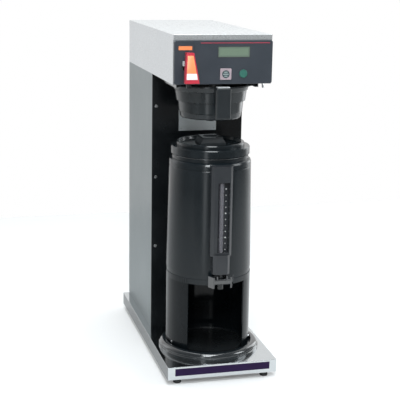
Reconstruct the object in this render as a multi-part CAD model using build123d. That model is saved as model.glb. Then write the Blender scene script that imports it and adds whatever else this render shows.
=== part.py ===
from build123d import *
import os
from math import asin, cos, pi, radians, sin, sqrt, tan

# Thermal coffee brewer with its thermal server, in millimetres, +Z up.
# The origin is the middle of the footprint at floor level, and the front faces -Y.

# Sheet metal and general fits
sheet = 1.2
running_gap = 0.05
loose_gap = 0.3
hole_gap = 0.25
screw_r = 2.0
screw_head_r = 3.6
screw_head_height = 1.8
screw_grip = 6.0

# Case: base plate, trunk and hood
case_width = 216.0
trunk_depth = 283.0
hood_height = 104.5
hood_front_margin = 4.0
base_side_margin = 17.0
base_front_margin = 13.5
base_back_setback = 5.0
base_height = 29.0
base_sheet = 1.5
base_corner = 3.0
return_flange = 40.0
foot_height = 12.0
foot_r = 9.0
foot_bore_r = 2.8
foot_edge = 1.0
foot_socket_gap = 1.0
foot_seat = 3.8
foot_screw_end = 5.0
foot_nut_height = 3.0
foot_side_inset = 25.0
foot_end_inset = 16.0
strip_width = 216.0
strip_height = 16.5
strip_thickness = 0.6
strip_rise = 8.4
base_screw_front = 60.0
base_screw_back = 50.0
trunk_flange = 15.0
trunk_top_flange = 6.0
trunk_front_flange = 18.0
trunk_front_sheet = 1.5
front_screw_inset = 9.5
front_screw_drop = 74.0
front_screw_pitch = 167.0
data_plate_width = 90.0
data_plate_height = 78.0
data_plate_drop = 55.0
data_plate_thickness = 0.6
lip_height = 11.0
rear_lip_height = 13.0
cover_screw_inset = 28.0
hood_top_flange = 10.0
hood_front_flange = 14.0
inlet_reach = 20.0

# Server on its stand
stand_r = 114.5
stand_height = 16.0
stand_floor = 6.0
stand_offset = 14.5
stand_rim = 17.5
stand_foot_height = 5.5
stand_groove = 1.5
stand_step = 2.0
stand_round = 9.5
stand_rim_round = 2.0
vessel_r = 96.5
vessel_wall = 2.5
bottom_bevel = 1.0
bottom_floor = 3.0
seam_depth = 0.9
seam_height = 1.0
seam_slope = 0.6
shell_draft = 4.5
vessel_from_funnel = 5.0
wall_height = 172.0
wall_thickness = 3.0
wall_opening = 42.0
bottom_height = 11.5
shell_height = 249.5
neck_height = 8.0
groove_drop = 18.0
groove_height = 3.5
groove_depth = 0.8
groove_slope = 1.0
shoulder_round = 6.0
shoulder_width = 4.5
shoulder_mid_inset = 1.5
shoulder_mid_drop = 2.0
shoulder_wall = 3.0
shoulder_wall_slope = 8.0
neck_inset = 10.5
liner_r = 79.7
liner_wall = 1.2
liner_lift = 3.0
liner_bevel = 6.0
liner_inner_bevel = 5.0
liner_flange_margin = 2.0
tap_hole_out = 5.0
tap_hole_in = 15.0
collar_height = 20.0
collar_inset = 8.0
collar_bevel = 2.0
collar_top_round = 1.5
collar_bore_bevel = 0.6
lid_r = 76.5
lid_height = 9.0
lid_plug_depth = 14.0
lid_plug_wall = 2.6
lid_rim = 8.5
lid_recess = 6.0
lid_seat = 3.5
lid_floor_thickness = 4.0
lid_edge_height = 2.5
lid_edge_step = 1.5
lid_edge_top = 0.5
lid_edge_width = 3.0
lid_slope_top = 1.0
lid_slope_bottom = 2.0
fill_hole_r = 8.0
grip_width = 57.0
grip_depth = 54.0
grip_height = 16.0
grip_chamfer = 5.5
grip_band = 4.0
dish_depth = 6.0
dish_flare = 9.0
tube_r = 6.0
tube_bore_r = 4.8
tube_length = 243.0
tube_flange = 8.0
tube_flange_height = 2.0
tray_r = 80.0
tray_height = 6.0
tray_floor = 3.5
tray_lip = 1.8
tray_bevel = 2.0
stand_screw_height = 13.5
stand_screw_turn = 20.0
stand_screw_r = 1.5
stand_screw_head_r = 2.8
stand_screw_head = 1.6
lug_width = 10.0
lug_top = 5.0
lug_thickness = 4.0
lug_setback = 0.7

# Sight gauge and faucet of the server
housing_width = 48.0
housing_reach = 14.5
housing_chamfer = 6.0
housing_drop = 2.0
housing_depth = 8.0
housing_rise = 16.0
shield_overlap = 4.0
gauge_r = 5.5
gauge_reach = 6.5
gauge_window_top = 36.0
gauge_window_height = 156.0
gauge_window_width = 26.0
gauge_window_shift = 3.5
gauge_back_gap = 0.6
gauge_cover = 8.0
gauge_wall = 1.5
gauge_end = 2.0
shield_height = 44.0
shield_width = 38.0
shield_reach = 20.5
tap_r = 8.5
tap_reach = 9.3
tap_height = 46.0
tap_rise = 3.0
tap_bevel = 1.5
spout_r = 6.5
spout_drop = 19.0
spout_bore_r = 4.0
spout_bore_top = 4.0
shank_bore_r = 3.2
shank_r = 7.0
shank_rise = 31.0
shank_root = 2.0
shank_inside = 8.0
shank_nut_rim = 3.0
shank_nut_near = 1.2
shank_nut_far = 4.0
lever_pin_r = 2.5
lever_pin_rise = 9.0
lever_pin_out = 2.0
lever_pin_root = 1.5
lever_cheek = 2.5
lever_bar_width = 40.0
lever_bar_depth = 6.0
lever_bar_height = 11.0
lever_bar_drop = 13.0
lever_bar_round = 2.4
cheek_gap = 1.0
cheek_front = 2.0
cheek_back = 5.0
cheek_low = 3.0
cheek_top = 5.0
ear_root = 2.0
ear_taper = 1.0
ear_drop = 8.5
lever_reach = 18.5
ear_height = 25.0
ear_length = 15.0
ear_spread = 8.0

# Funnel and its rails
funnel_from_trunk = 114.0
brew_gap = 34.0
funnel_rim_r = 90.5
funnel_rim = 3.0
funnel_wall = 3.0
funnel_side = 90.0
nozzle_r = 10.0
nozzle_bore_r = 4.0
nozzle_height = 9.5
band_r = 68.8
band_taper = 1.6
band_height = 12.0
low_tier_r = 73.0
low_tier_taper = 2.0
low_tier_height = 24.5
mid_tier_r = 80.0
mid_tier_taper = 3.0
mid_tier_height = 24.0
top_tier_r = 84.5
top_tier_taper = 2.5
top_tier_height = 9.7
step_width = 1.6
rail_height = 12.0
rail_lip = 7.2
rail_length = 144.0
rail_back_gap = 26.0
rail_flange = 12.0
funnel_handle_width = 32.0
funnel_handle_height = 69.0
funnel_handle_reach = 110.0
funnel_grip_depth = 16.0
funnel_arm_height = 20.0
funnel_arm_inset = 2.0
funnel_pad_reach = 3.5
funnel_grip_proud = 1.5
funnel_grip_round = 5.0
funnel_grip_corner = 3.0
funnel_floor_drop = 5.0
funnel_corner = 2.0
spray_head_r = 36.0
spray_head_height = 3.8
spray_hub_r = 9.0
spray_hub_rise = 10.0
spray_clamp_width = 5.0
spray_clamp = 3.0
spray_edge = 1.0
spray_ring_pitch = 9.5
spray_hole_r = 1.2
spray_hole_depth = 2.2

# Front panel, display, buttons and toggle
panel_side_gap = 0.5
panel_wall = 3.0
panel_depth = 8.5
panel_corner = 5.0
panel_edge = 1.2
panel_bottom_rise = 1.0
panel_top_gap = 0.5
seam_x = -64.5
seam_height = 22.0
seam_width = 1.0
seam_depth = 0.8
window_width = 69.2
window_height = 22.1
window_x = 21.8
window_rise = 67.8
window_thickness = 1.5
window_ledge = 2.0
module_margin = 5.0
module_edge = 1.0
square_button_width = 24.6
square_button_height = 24.0
square_button_x = 4.5
square_button_rise = 21.2
round_button_r = 8.8
round_button_x = 43.2
round_button_rise = 21.8
button_proud = 1.2
button_travel = 1.2
button_flange = 2.0
button_flange_thickness = 1.5
button_stem_r = 2.5
button_corner = 2.0
button_edge = 0.6
switch_size = 6.0
switch_height = 4.0
board_width = 120.0
board_height = 80.0
board_x = 25.0
board_rise = 8.0
board_gap = 11.5
board_thickness = 1.6
board_post_r = 3.5
board_post_inset = 5.0
board_screw_r = 1.4
board_screw_head_r = 2.7
board_screw_head = 1.6
board_screw_grip = 6.0
board_hole_gap = 0.1
relay_width = 22.0
relay_height = 30.0
relay_depth = 18.0
relay_rise = 22.0
relay_inset = 16.0
relay_pitch = 30.0
toggle_x = 97.5
toggle_back = 29.0
toggle_body_width = 14.0
toggle_body_depth = 22.0
toggle_body_height = 18.0
toggle_bushing_r = 4.0
toggle_bushing_proud = 1.0
toggle_bore_r = 3.2
toggle_bore_depth = 6.0
toggle_pivot_rise = 1.0
toggle_ball_gap = 0.4
toggle_rod_r = 1.5
toggle_tip_r = 3.2
toggle_length = 14.0
toggle_tilt = 13.0

# Hot water faucet
faucet_x = -78.0
faucet_rise = 38.0
faucet_barrel_r = 7.0
faucet_barrel_reach = 11.0
faucet_barrel_below = 27.0
faucet_barrel_above = 15.0
faucet_spout_r = 5.5
faucet_spout_length = 16.0
faucet_bore_r = 4.0
faucet_edge = 1.5
faucet_seat = 4.0
faucet_cap = 2.0
faucet_fit = 0.1
faucet_spout_bore_r = 3.0
faucet_shank_r = 6.5
faucet_shank_inside = 17.0
faucet_ring_r = 13.3
faucet_ring_thickness = 2.6
faucet_ring_edge = 1.2
faucet_nut_r = 11.0
faucet_nut_thickness = 6.0
eye_width = 7.6
eye_r = 4.5
pin_r = 2.0
stem_travel = 3.0
handle_rise = 31.0
handle_height = 62.0
handle_edge = 1.2
handle_top_width = 16.0
handle_bottom_width = 31.0
handle_top_depth = 15.0
handle_bottom_depth = 12.0
handle_wall = 2.2
handle_top_reach = 20.5
handle_bottom_reach = 41.0
handle_pin_drop = 9.0

# Water works inside the case
tank_width = 180.0
tank_depth = 218.0
tank_height = 374.0
tank_front_gap = 40.0
tank_corner = 20.0
tank_flange = 10.0
tank_above_floor = 51.0
tank_lid_thickness = 2.0
bolt_r = 2.0
bolt_head_r = 3.8
bolt_head = 3.0
bolt_tail = 6.0
bolt_pitch = 70.0
bar_depth = 20.0
bar_height = 30.0
bar_sheet = 4.0
bar_end_inset = 22.0
heater_leg_r = 4.0
heater_half_span = 25.0
heater_bend = 24.0
heater_terminal = 14.0
heater_drop = 300.0
heater_head_r = 36.0
heater_head_height = 5.0
heater_y = 24.0
probe_r = 3.0
probe_drop = 220.0
level_probe_drop = 90.0
probe_head_height = 12.0
probe_head_r = 7.0
probe_x = 58.0
probe_forward = 50.0
thermostat_r = 12.0
thermostat_height = 11.0
blade_width = 6.0
blade_length = 16.0
blade_height = 6.0
valve_width = 30.0
valve_depth = 30.0
valve_height = 24.0
coil_r = 13.0
coil_height = 30.0
valve_drop = 8.0
valve_stub = 6.0
valve_stub_r = 6.0
pipe_r = 4.5
spray_pipe_r = 5.0
spray_pipe_bend = 15.0
inlet_x = 60.0
inlet_rise = 60.0
inlet_thread_r = 5.55
inlet_thread_length = 14.0
inlet_bore_r = 3.1
inlet_hex_r = 8.0
inlet_inside = 8.0
inlet_flange_r = 9.0
refill_turn_drop = 90.0
refill_rise = 40.0
refill_forward = 60.0
refill_shift = 20.0
refill_bend = 14.0
hot_pipe_first = 70.0
hot_pipe_second = 150.0
hot_pipe_drop = 14.0
hot_pipe_bend = 30.0
hot_pipe_inset = 10.0
gland_x = -60.0
gland_bore_r = 4.5
gland_body_r = 8.0
gland_flange_r = 12.0
gland_reach = 8.0
gland_inside = 10.0
gland_flange = 3.0
gland_nut = 5.0
gland_edge = 1.5

# Heights worked out from the sizes above
base_top_z = foot_height + base_height
stand_floor_z = base_top_z + stand_floor
stand_rim_z = base_top_z + stand_height
bottom_z = stand_floor_z + wall_height
shell_z = bottom_z + bottom_height
shoulder_z = shell_z + shell_height
neck_z = shoulder_z + neck_height
collar_top_z = neck_z + collar_height
lid_top_z = collar_top_z + lid_height
lid_floor_z = lid_top_z - lid_recess
grip_top_z = lid_floor_z + grip_height
nozzle_z = grip_top_z + brew_gap
band_z = nozzle_z + nozzle_height
low_tier_z = band_z + band_height + step_width
mid_tier_z = low_tier_z + low_tier_height
top_tier_z = mid_tier_z + mid_tier_height
rim_z = top_tier_z + top_tier_height
rim_top_z = rim_z + funnel_rim
hood_bottom_z = rim_z + rail_height - sheet
hood_top_z = hood_bottom_z + hood_height
hood_floor_z = hood_bottom_z + sheet
spray_hub_z = hood_floor_z + sheet + spray_hub_rise
liner_z = shell_z + liner_lift
tap_z = bottom_z + tap_rise
tap_top_z = tap_z + tap_height
panel_z = hood_bottom_z + panel_bottom_rise
panel_top_z = hood_top_z - lip_height - panel_top_gap
faucet_z = hood_bottom_z + faucet_rise
handle_top_z = faucet_z + handle_rise
pin_z = handle_top_z - handle_pin_drop
tank_top_z = hood_bottom_z + tank_above_floor
tank_z = tank_top_z - tank_height
lid_plate_z = tank_top_z + tank_lid_thickness
inlet_z = base_top_z + inlet_rise

# Depths worked out from the sizes above
hood_depth = trunk_depth + funnel_from_trunk + funnel_rim_r + hood_front_margin
stand_reach = funnel_from_trunk + vessel_from_funnel + stand_offset + stand_r
case_reach = trunk_depth + stand_reach + base_front_margin
overall_depth = case_reach + strip_thickness + inlet_reach
back_y = overall_depth / 2 - inlet_reach
trunk_front_y = back_y - trunk_depth
funnel_y = trunk_front_y - funnel_from_trunk
vessel_y = funnel_y - vessel_from_funnel
stand_y = vessel_y - stand_offset
base_front_y = back_y - case_reach
base_back_y = back_y - base_back_setback
hood_front_y = back_y - hood_depth
panel_y = hood_front_y - panel_depth
half_case = case_width / 2
half_base = half_case + base_side_margin
inner_half = half_case - sheet
funnel_inner_r = funnel_rim_r + 0.7
tank_front_y = trunk_front_y + tank_front_gap
tank_back_y = tank_front_y + tank_depth
board_y = panel_y + panel_wall + board_gap
switch_y = board_y - switch_height
tap_y = vessel_y - vessel_r - tap_reach
gauge_y = vessel_y - vessel_r - gauge_reach
housing_y = vessel_y - vessel_r - housing_reach
lever_pin_z = tap_z + lever_pin_rise
barrel_y = panel_y - faucet_barrel_reach
toggle_y = hood_front_y + toggle_back
toggle_z = hood_floor_z + sheet
toggle_pivot_z = toggle_z + toggle_pivot_rise


def block(x0, x1, y0, y1, z0, z1):
    """A box between two corners."""
    return Pos((x0 + x1) / 2, (y0 + y1) / 2, (z0 + z1) / 2) * Box(x1 - x0, y1 - y0, z1 - z0)


def post(radius, z0, z1, x=0.0, y=0.0):
    """An upright cylinder."""
    return Pos(x, y, (z0 + z1) / 2) * Cylinder(radius, z1 - z0)


def rod_y(radius, y0, y1, x=0.0, z=0.0):
    """A cylinder that lies front to back."""
    return Pos(x, (y0 + y1) / 2, z) * Rot(90, 0, 0) * Cylinder(radius, y1 - y0)


def rod_x(radius, x0, x1, y=0.0, z=0.0):
    """A cylinder that lies side to side."""
    return Pos((x0 + x1) / 2, y, z) * Rot(0, 90, 0) * Cylinder(radius, x1 - x0)


def turned(points, y=0.0, x=0.0):
    """A round piece from its half section, as radius and height."""
    section = Plane.XZ * make_face(Polyline(*points, close=True))
    return Pos(x, y, 0) * revolve(section, Axis.Z)


def pipe(radius, points, bend):
    """A round pipe along straight runs with round bends."""
    path = FilletPolyline(*points, radius=bend)
    return sweep(Plane(origin=path @ 0, z_dir=path % 0) * Circle(radius), path)


def screw(x, y, z, turn=(0, 0, 0)):
    """A pan-head case screw with its nut, its head above the point given and its shank below."""
    head = post(screw_head_r, 0, screw_head_height)
    head = fillet(head.edges().sort_by(Axis.Z)[-1], screw_head_height / 2)
    body = head + post(screw_r, -screw_grip, 0)
    return Pos(x, y, z) * Rot(*turn) * body


def upright_edges(part):
    return part.edges().filter_by(Axis.Z)


def wrap(front, z0, z1, bottom_flange, top_flange, front_flange):
    """A folded sheet with two sides and a back, and flanges turned inwards."""
    part = block(-half_case, half_case, front, back_y, z0, z1)
    part -= block(-inner_half, inner_half, front + sheet, back_y - sheet, z0 + sheet, z1 - sheet)
    side = half_case - front_flange
    part -= block(-side, side, front - 1, front + sheet + 1, z0 - 1, z1 + 1)
    for z, flange in ((z0, bottom_flange), (z1, top_flange)):
        side = half_case - flange
        part -= block(-side, side, front - 1, back_y - flange, z - sheet - 0.1, z + sheet + 0.1)
    return part


# Base plate

def foot_spots():
    x = half_base - foot_side_inset
    return [(sx * x, y) for sx in (-1, 1)
            for y in (base_front_y + foot_end_inset, base_back_y - foot_end_inset)]


def base_screw_spots():
    x = half_case - trunk_flange / 2
    ends = (trunk_front_y + base_screw_front, back_y - base_screw_back)
    return [(sx * x, y) for sx in (-1, 1) for y in ends]


def make_base_plate():
    part = block(-half_base, half_base, base_front_y, base_back_y, foot_height, base_top_z)
    part = fillet(upright_edges(part), base_corner)
    part = fillet(part.faces().sort_by(Axis.Z)[-1].edges(), base_sheet / 2)
    x = half_base - base_sheet
    part -= block(-x, x, base_front_y + base_sheet, base_back_y - base_sheet,
                  foot_height + base_sheet, base_top_z - base_sheet)
    x = half_base - return_flange
    part -= block(-x, x, base_front_y + base_sheet, base_back_y - base_sheet,
                  foot_height - 1, foot_height + base_sheet + 1)
    for x, y in foot_spots():
        part -= post(screw_r + hole_gap, foot_height - 1, foot_height + base_sheet + 1, x, y)
    for x, y in base_screw_spots():
        part -= post(screw_r + hole_gap, base_top_z - base_sheet - 1, base_top_z + 1, x, y)
    return part


def make_base_strip():
    z0 = foot_height + strip_rise
    return block(-strip_width / 2, strip_width / 2, base_front_y - strip_thickness, base_front_y,
                 z0, z0 + strip_height)


def make_feet():
    feet = []
    for x, y in foot_spots():
        foot = post(foot_r, 0, foot_height, x, y)
        foot = chamfer(foot.edges().sort_by(Axis.Z)[0], foot_edge)
        foot -= post(screw_head_r + foot_socket_gap, -1, foot_seat, x, y)
        foot -= post(foot_bore_r, 0, foot_height + 1, x, y)
        feet.append(foot)
    return feet


def make_foot_screws():
    screws = []
    for x, y in foot_spots():
        top = foot_height + base_sheet
        part = post(screw_head_r, foot_seat - screw_head_height, foot_seat, x, y)
        part += post(screw_r, foot_seat, top + foot_screw_end, x, y)
        part += post(screw_head_r, top, top + foot_nut_height, x, y)
        screws.append(part)
    return screws


# Trunk

def front_screw_spots():
    x = half_case - front_screw_inset
    top = hood_bottom_z - front_screw_drop
    return [(sx * x, top - i * front_screw_pitch) for sx in (-1, 1) for i in range(3)]


def make_trunk_shell():
    front = trunk_front_y + trunk_front_sheet
    part = wrap(front, base_top_z, hood_bottom_z, trunk_flange, trunk_top_flange,
                trunk_front_flange)
    for x, y in base_screw_spots():
        part -= post(screw_r + hole_gap, base_top_z - 1, base_top_z + sheet + 1, x, y)
    for x, z in front_screw_spots():
        part -= rod_y(screw_r + hole_gap, front - 1, front + sheet + 1, x, z)
    part -= rod_y(inlet_thread_r + hole_gap, back_y - sheet - 1, back_y + 1, inlet_x, inlet_z)
    part -= rod_y(gland_body_r + hole_gap, back_y - sheet - 1, back_y + 1, gland_x, inlet_z)
    return part


def make_trunk_front():
    y1 = trunk_front_y + trunk_front_sheet
    part = block(-half_case, half_case, trunk_front_y, y1, base_top_z, hood_bottom_z)
    edges = upright_edges(part).group_by(Axis.Y)[0]
    part = fillet(edges, trunk_front_sheet / 2)
    for x, z in front_screw_spots():
        part -= rod_y(screw_r + hole_gap, trunk_front_y - 1, y1 + 1, x, z)
    return part


def make_data_plate():
    top = hood_bottom_z - data_plate_drop
    return block(-data_plate_width / 2, data_plate_width / 2,
                 trunk_front_y - data_plate_thickness, trunk_front_y, top - data_plate_height, top)


# Hood

def cover_screw_spots():
    z = hood_top_z - rear_lip_height / 2
    return [(sx * (half_case - cover_screw_inset), z) for sx in (-1, 1)]


def make_case_screws():
    under = base_top_z - base_sheet
    screws = [screw(x, trunk_front_y, z, (90, 0, 0)) for x, z in front_screw_spots()]
    screws += [screw(x, y, under, (180, 0, 0)) for x, y in base_screw_spots()]
    screws += [screw(x, back_y + sheet, z, (-90, 0, 0)) for x, z in cover_screw_spots()]
    return screws


def make_hood_shell():
    part = wrap(hood_front_y, hood_bottom_z, hood_top_z - sheet, trunk_top_flange,
                hood_top_flange, hood_front_flange)
    for x, z in cover_screw_spots():
        part -= rod_y(screw_r + hole_gap, back_y - sheet - 1, back_y + 1, x, z)
    return part


def make_hood_cover():
    front = hood_front_y - sheet
    back = back_y + sheet
    part = block(-half_case, half_case, front, back, hood_top_z - rear_lip_height, hood_top_z)
    part = fillet(part.faces().sort_by(Axis.Z)[-1].edges(), sheet / 2)
    part -= block(-half_case - 1, half_case + 1, hood_front_y, back_y,
                  hood_top_z - rear_lip_height - 1, hood_top_z - sheet)
    part -= block(-half_case - 1, half_case + 1, front - 1, hood_front_y + 1,
                  hood_top_z - rear_lip_height - 1, hood_top_z - lip_height)
    for x, z in cover_screw_spots():
        part -= rod_y(screw_r + hole_gap, back_y - 1, back + 1, x, z)
    return part


def make_hood_floor():
    y0 = hood_front_y + sheet
    y1 = trunk_front_y + trunk_front_sheet
    part = block(-inner_half, inner_half, y0, y1, hood_floor_z, hood_floor_z + sheet)
    part -= post(spray_hub_r + loose_gap, hood_floor_z - 1, hood_floor_z + sheet + 1, 0, funnel_y)
    part -= post(toggle_bushing_r + hole_gap, hood_floor_z - 1, hood_floor_z + sheet + 1,
                 toggle_x, toggle_y)
    return part


# Front panel with its display, board and buttons

def window_z():
    return panel_z + window_rise


def square_button_z():
    return panel_z + square_button_rise


def round_button_z():
    return panel_z + round_button_rise


def board_posts():
    x = board_width / 2 - board_post_inset
    z0 = panel_z + board_rise + board_post_inset
    z1 = z0 + board_height - 2 * board_post_inset
    return [(board_x + sx * x, z) for sx in (-1, 1) for z in (z0, z1)]


def make_front_panel():
    half = half_case - panel_side_gap
    part = block(-half, half, panel_y, hood_front_y, panel_z, panel_top_z)
    part = fillet(part.edges().filter_by(Axis.Y), panel_corner)
    part = fillet(part.faces().sort_by(Axis.Y)[0].edges(), panel_edge)
    inset = panel_wall
    part -= block(-half + inset, half - inset, panel_y + panel_wall, hood_front_y + 1,
                  panel_z + inset, panel_top_z - inset)
    for x, z in board_posts():
        part += rod_y(board_post_r, panel_y + panel_wall / 2, board_y, x, z)
        part -= rod_y(board_screw_r + board_hole_gap, board_y - board_screw_grip - 1, board_y + 1, x, z)
    ledge = window_ledge
    half_w = window_width / 2
    half_h = window_height / 2
    part -= block(window_x - half_w, window_x + half_w, panel_y - 1, panel_y + window_thickness,
                  window_z() - half_h, window_z() + half_h)
    part -= block(window_x - half_w + ledge, window_x + half_w - ledge, panel_y, board_y,
                  window_z() - half_h + ledge, window_z() + half_h - ledge)
    half_w = square_button_width / 2 + loose_gap
    half_h = square_button_height / 2 + loose_gap
    part -= block(square_button_x - half_w, square_button_x + half_w, panel_y - 1,
                  panel_y + panel_wall + 1, square_button_z() - half_h, square_button_z() + half_h)
    part -= rod_y(round_button_r + loose_gap, panel_y - 1, panel_y + panel_wall + 1,
                  round_button_x, round_button_z())
    part -= rod_y(faucet_shank_r + loose_gap, panel_y - 1, panel_y + panel_wall + 1,
                  faucet_x, faucet_z)
    part -= block(seam_x - seam_width / 2, seam_x + seam_width / 2, panel_y - 1,
                  panel_y + seam_depth, panel_top_z - seam_height, panel_top_z + 1)
    return part


def make_display_window():
    half_w = window_width / 2 - running_gap
    half_h = window_height / 2 - running_gap
    return block(window_x - half_w, window_x + half_w, panel_y, panel_y + window_thickness,
                 window_z() - half_h, window_z() + half_h)


def make_display_module():
    half_w = window_width / 2 + module_margin
    half_h = window_height / 2 + module_margin
    part = block(window_x - half_w, window_x + half_w, panel_y + panel_wall, board_y,
                 window_z() - half_h, window_z() + half_h)
    return chamfer(part.faces().sort_by(Axis.Y)[0].edges(), module_edge)


def make_control_board():
    z0 = panel_z + board_rise
    x0 = board_x - board_width / 2
    part = block(x0, x0 + board_width, board_y, board_y + board_thickness, z0, z0 + board_height)
    for x, z in ((square_button_x, square_button_z()), (round_button_x, round_button_z())):
        half = switch_size / 2
        part += block(x - half, x + half, switch_y, board_y, z - half, z + half)
    back = board_y + board_thickness
    for i in range(3):
        x1 = x0 + relay_inset + i * relay_pitch
        part += block(x1, x1 + relay_width, back, back + relay_depth,
                      z0 + relay_rise, z0 + relay_rise + relay_height)
    for x, z in board_posts():
        part -= rod_y(board_screw_r + hole_gap, board_y - 1, back + 1, x, z)
    return part


def make_board_screws():
    back = board_y + board_thickness
    screws = []
    for x, z in board_posts():
        part = rod_y(board_screw_r, board_y - board_screw_grip, back, x, z)
        part += rod_y(board_screw_head_r, back, back + board_screw_head, x, z)
        screws.append(part)
    return screws


def button_stem(x, z):
    y0 = panel_y + panel_wall
    return rod_y(button_stem_r, y0, switch_y - button_travel - loose_gap, x, z)


def make_square_button():
    x, z = square_button_x, square_button_z()
    half_w = square_button_width / 2
    half_h = square_button_height / 2
    back = panel_y + panel_wall
    part = block(x - half_w, x + half_w, panel_y - button_proud, back, z - half_h, z + half_h)
    part = fillet(part.edges().filter_by(Axis.Y), button_corner)
    part = fillet(part.faces().sort_by(Axis.Y)[0].edges(), button_edge)
    half_w += button_flange
    half_h += button_flange
    part += block(x - half_w, x + half_w, back, back + button_flange_thickness,
                  z - half_h, z + half_h)
    return part + button_stem(x, z)


def make_round_button():
    x, z = round_button_x, round_button_z()
    back = panel_y + panel_wall
    part = rod_y(round_button_r, panel_y - button_proud, back, x, z)
    part = fillet(part.edges().sort_by(Axis.Y)[0], button_edge)
    part += rod_y(round_button_r + button_flange, back, back + button_flange_thickness, x, z)
    return part + button_stem(x, z)


def make_toggle_switch():
    half_w = toggle_body_width / 2
    half_d = toggle_body_depth / 2
    low = hood_bottom_z - toggle_bushing_proud
    part = block(toggle_x - half_w, toggle_x + half_w, toggle_y - half_d, toggle_y + half_d,
                 toggle_z, toggle_z + toggle_body_height)
    part += post(toggle_bushing_r, low, toggle_z, toggle_x, toggle_y)
    part -= post(toggle_bore_r, low - 1, toggle_z + toggle_bore_depth, toggle_x, toggle_y)
    return part


def make_toggle_lever():
    part = Sphere(toggle_bore_r - toggle_ball_gap)
    rod = Cone(toggle_tip_r, toggle_rod_r, toggle_length)
    part += Pos(0, 0, -toggle_length / 2) * rod
    part += Pos(0, 0, -toggle_length) * Sphere(toggle_tip_r)
    return Pos(toggle_x, toggle_y, toggle_pivot_z) * Rot(0, -toggle_tilt, 0) * part


# Hot water faucet

def make_faucet_body():
    low = faucet_z - faucet_barrel_below
    high = faucet_z + faucet_barrel_above
    part = post(faucet_barrel_r, low, high, faucet_x, barrel_y)
    part = chamfer(part.edges().sort_by(Axis.Z)[-1], faucet_edge)
    part += post(faucet_spout_r, low - faucet_spout_length, low, faucet_x, barrel_y)
    part += rod_y(faucet_shank_r, barrel_y, hood_front_y + faucet_shank_inside, faucet_x, faucet_z)
    half = eye_width / 2
    part += block(faucet_x - half, faucet_x + half, barrel_y - eye_r, barrel_y + eye_r,
                  high - faucet_edge, pin_z)
    part += rod_x(eye_r, faucet_x - half, faucet_x + half, barrel_y, pin_z)
    part -= rod_x(pin_r, faucet_x - half - 1, faucet_x + half + 1, barrel_y, pin_z)
    part -= post(faucet_bore_r, low + faucet_seat, high - faucet_cap, faucet_x, barrel_y)
    part -= post(faucet_spout_bore_r, low - faucet_spout_length - 1, low + faucet_seat + 1,
                 faucet_x, barrel_y)
    return part


def make_faucet_ring():
    part = rod_y(faucet_ring_r, panel_y - faucet_ring_thickness, panel_y, faucet_x, faucet_z)
    part = fillet(part.edges().sort_by(Axis.Y)[0], faucet_ring_edge)
    return part - rod_y(faucet_shank_r + faucet_fit, panel_y - 5, panel_y + 1, faucet_x, faucet_z)


def make_faucet_nut():
    y0 = panel_y + panel_wall
    hexagon = Plane.XZ * RegularPolygon(faucet_nut_r, 6)
    part = Pos(faucet_x, y0, faucet_z) * extrude(hexagon, -faucet_nut_thickness)
    return part - rod_y(faucet_shank_r + faucet_fit, y0 - 1, y0 + faucet_nut_thickness + 1,
                        faucet_x, faucet_z)


def make_faucet_pin():
    half = handle_width_at(pin_z) / 2
    return rod_x(pin_r, faucet_x - half, faucet_x + half, barrel_y, pin_z)


def make_faucet_stem():
    low = faucet_z - faucet_barrel_below + faucet_seat
    high = faucet_z + faucet_barrel_above - faucet_cap
    return post(faucet_bore_r - faucet_fit, low, high - stem_travel - loose_gap, faucet_x, barrel_y)


def handle_width_at(z):
    share = (handle_top_z - z) / handle_height
    return handle_top_width + share * (handle_bottom_width - handle_top_width)


def handle_wedge(inset, open_back):
    """The handle's wedge, drawn in by a wall, and run on past its back edge if asked."""
    top_front = panel_y - handle_top_reach + inset
    low_front = panel_y - handle_bottom_reach + inset
    top_back = panel_y - handle_top_reach + handle_top_depth + open_back
    low_back = panel_y - handle_bottom_reach + handle_bottom_depth + open_back
    low_z = handle_top_z - handle_height + inset
    high_z = handle_top_z - inset
    side = Polyline((top_back, high_z), (top_front, high_z), (low_front, low_z),
                    (low_back, low_z), close=True)
    reach = handle_bottom_width
    part = extrude(Plane.YZ * make_face(side), reach, both=True)
    half_top = handle_width_at(high_z) / 2 - inset
    half_low = handle_width_at(low_z) / 2 - inset
    front = Polyline((-half_top, high_z), (half_top, high_z), (half_low, low_z),
                     (-half_low, low_z), close=True)
    face = extrude(Plane.XZ * make_face(front), overall_depth, both=True)
    return part & face


def make_faucet_handle():
    part = handle_wedge(0, 0)
    part = fillet(part.faces().sort_by(Axis.Y)[0].edges(), handle_edge)
    part = Pos(faucet_x, 0, 0) * part
    part -= Pos(faucet_x, 0, 0) * handle_wedge(handle_wall, handle_bottom_depth)
    part -= rod_x(pin_r + running_gap, faucet_x - handle_top_width, faucet_x + handle_top_width,
                  barrel_y, pin_z)
    return part


# Water works

def make_tank():
    half = tank_width / 2
    part = block(-half, half, tank_front_y, tank_back_y, tank_z, tank_top_z)
    part = fillet(upright_edges(part), tank_corner)
    flange = block(-half - tank_flange, half + tank_flange, tank_front_y - tank_flange,
                   tank_back_y + tank_flange, tank_top_z - sheet, tank_top_z)
    flange = fillet(upright_edges(flange), tank_corner)
    part += flange
    inner = block(-half + sheet, half - sheet, tank_front_y + sheet, tank_back_y - sheet,
                  tank_z + sheet, tank_top_z + 1)
    part -= fillet(upright_edges(inner), tank_corner - sheet)
    for x, y in lid_bolt_spots():
        part -= post(bolt_r + hole_gap, tank_top_z - sheet - 1, tank_top_z + 1, x, y)
    return part


def lid_bolt_spots():
    x = tank_width / 2 + tank_flange / 2
    y0 = tank_front_y - tank_flange / 2
    y1 = tank_back_y + tank_flange / 2
    middle = (y0 + y1) / 2
    sides = [(sx * x, middle + dy) for sx in (-1, 1) for dy in (-bolt_pitch, 0, bolt_pitch)]
    return sides + [(0, y0), (0, y1)]


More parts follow.
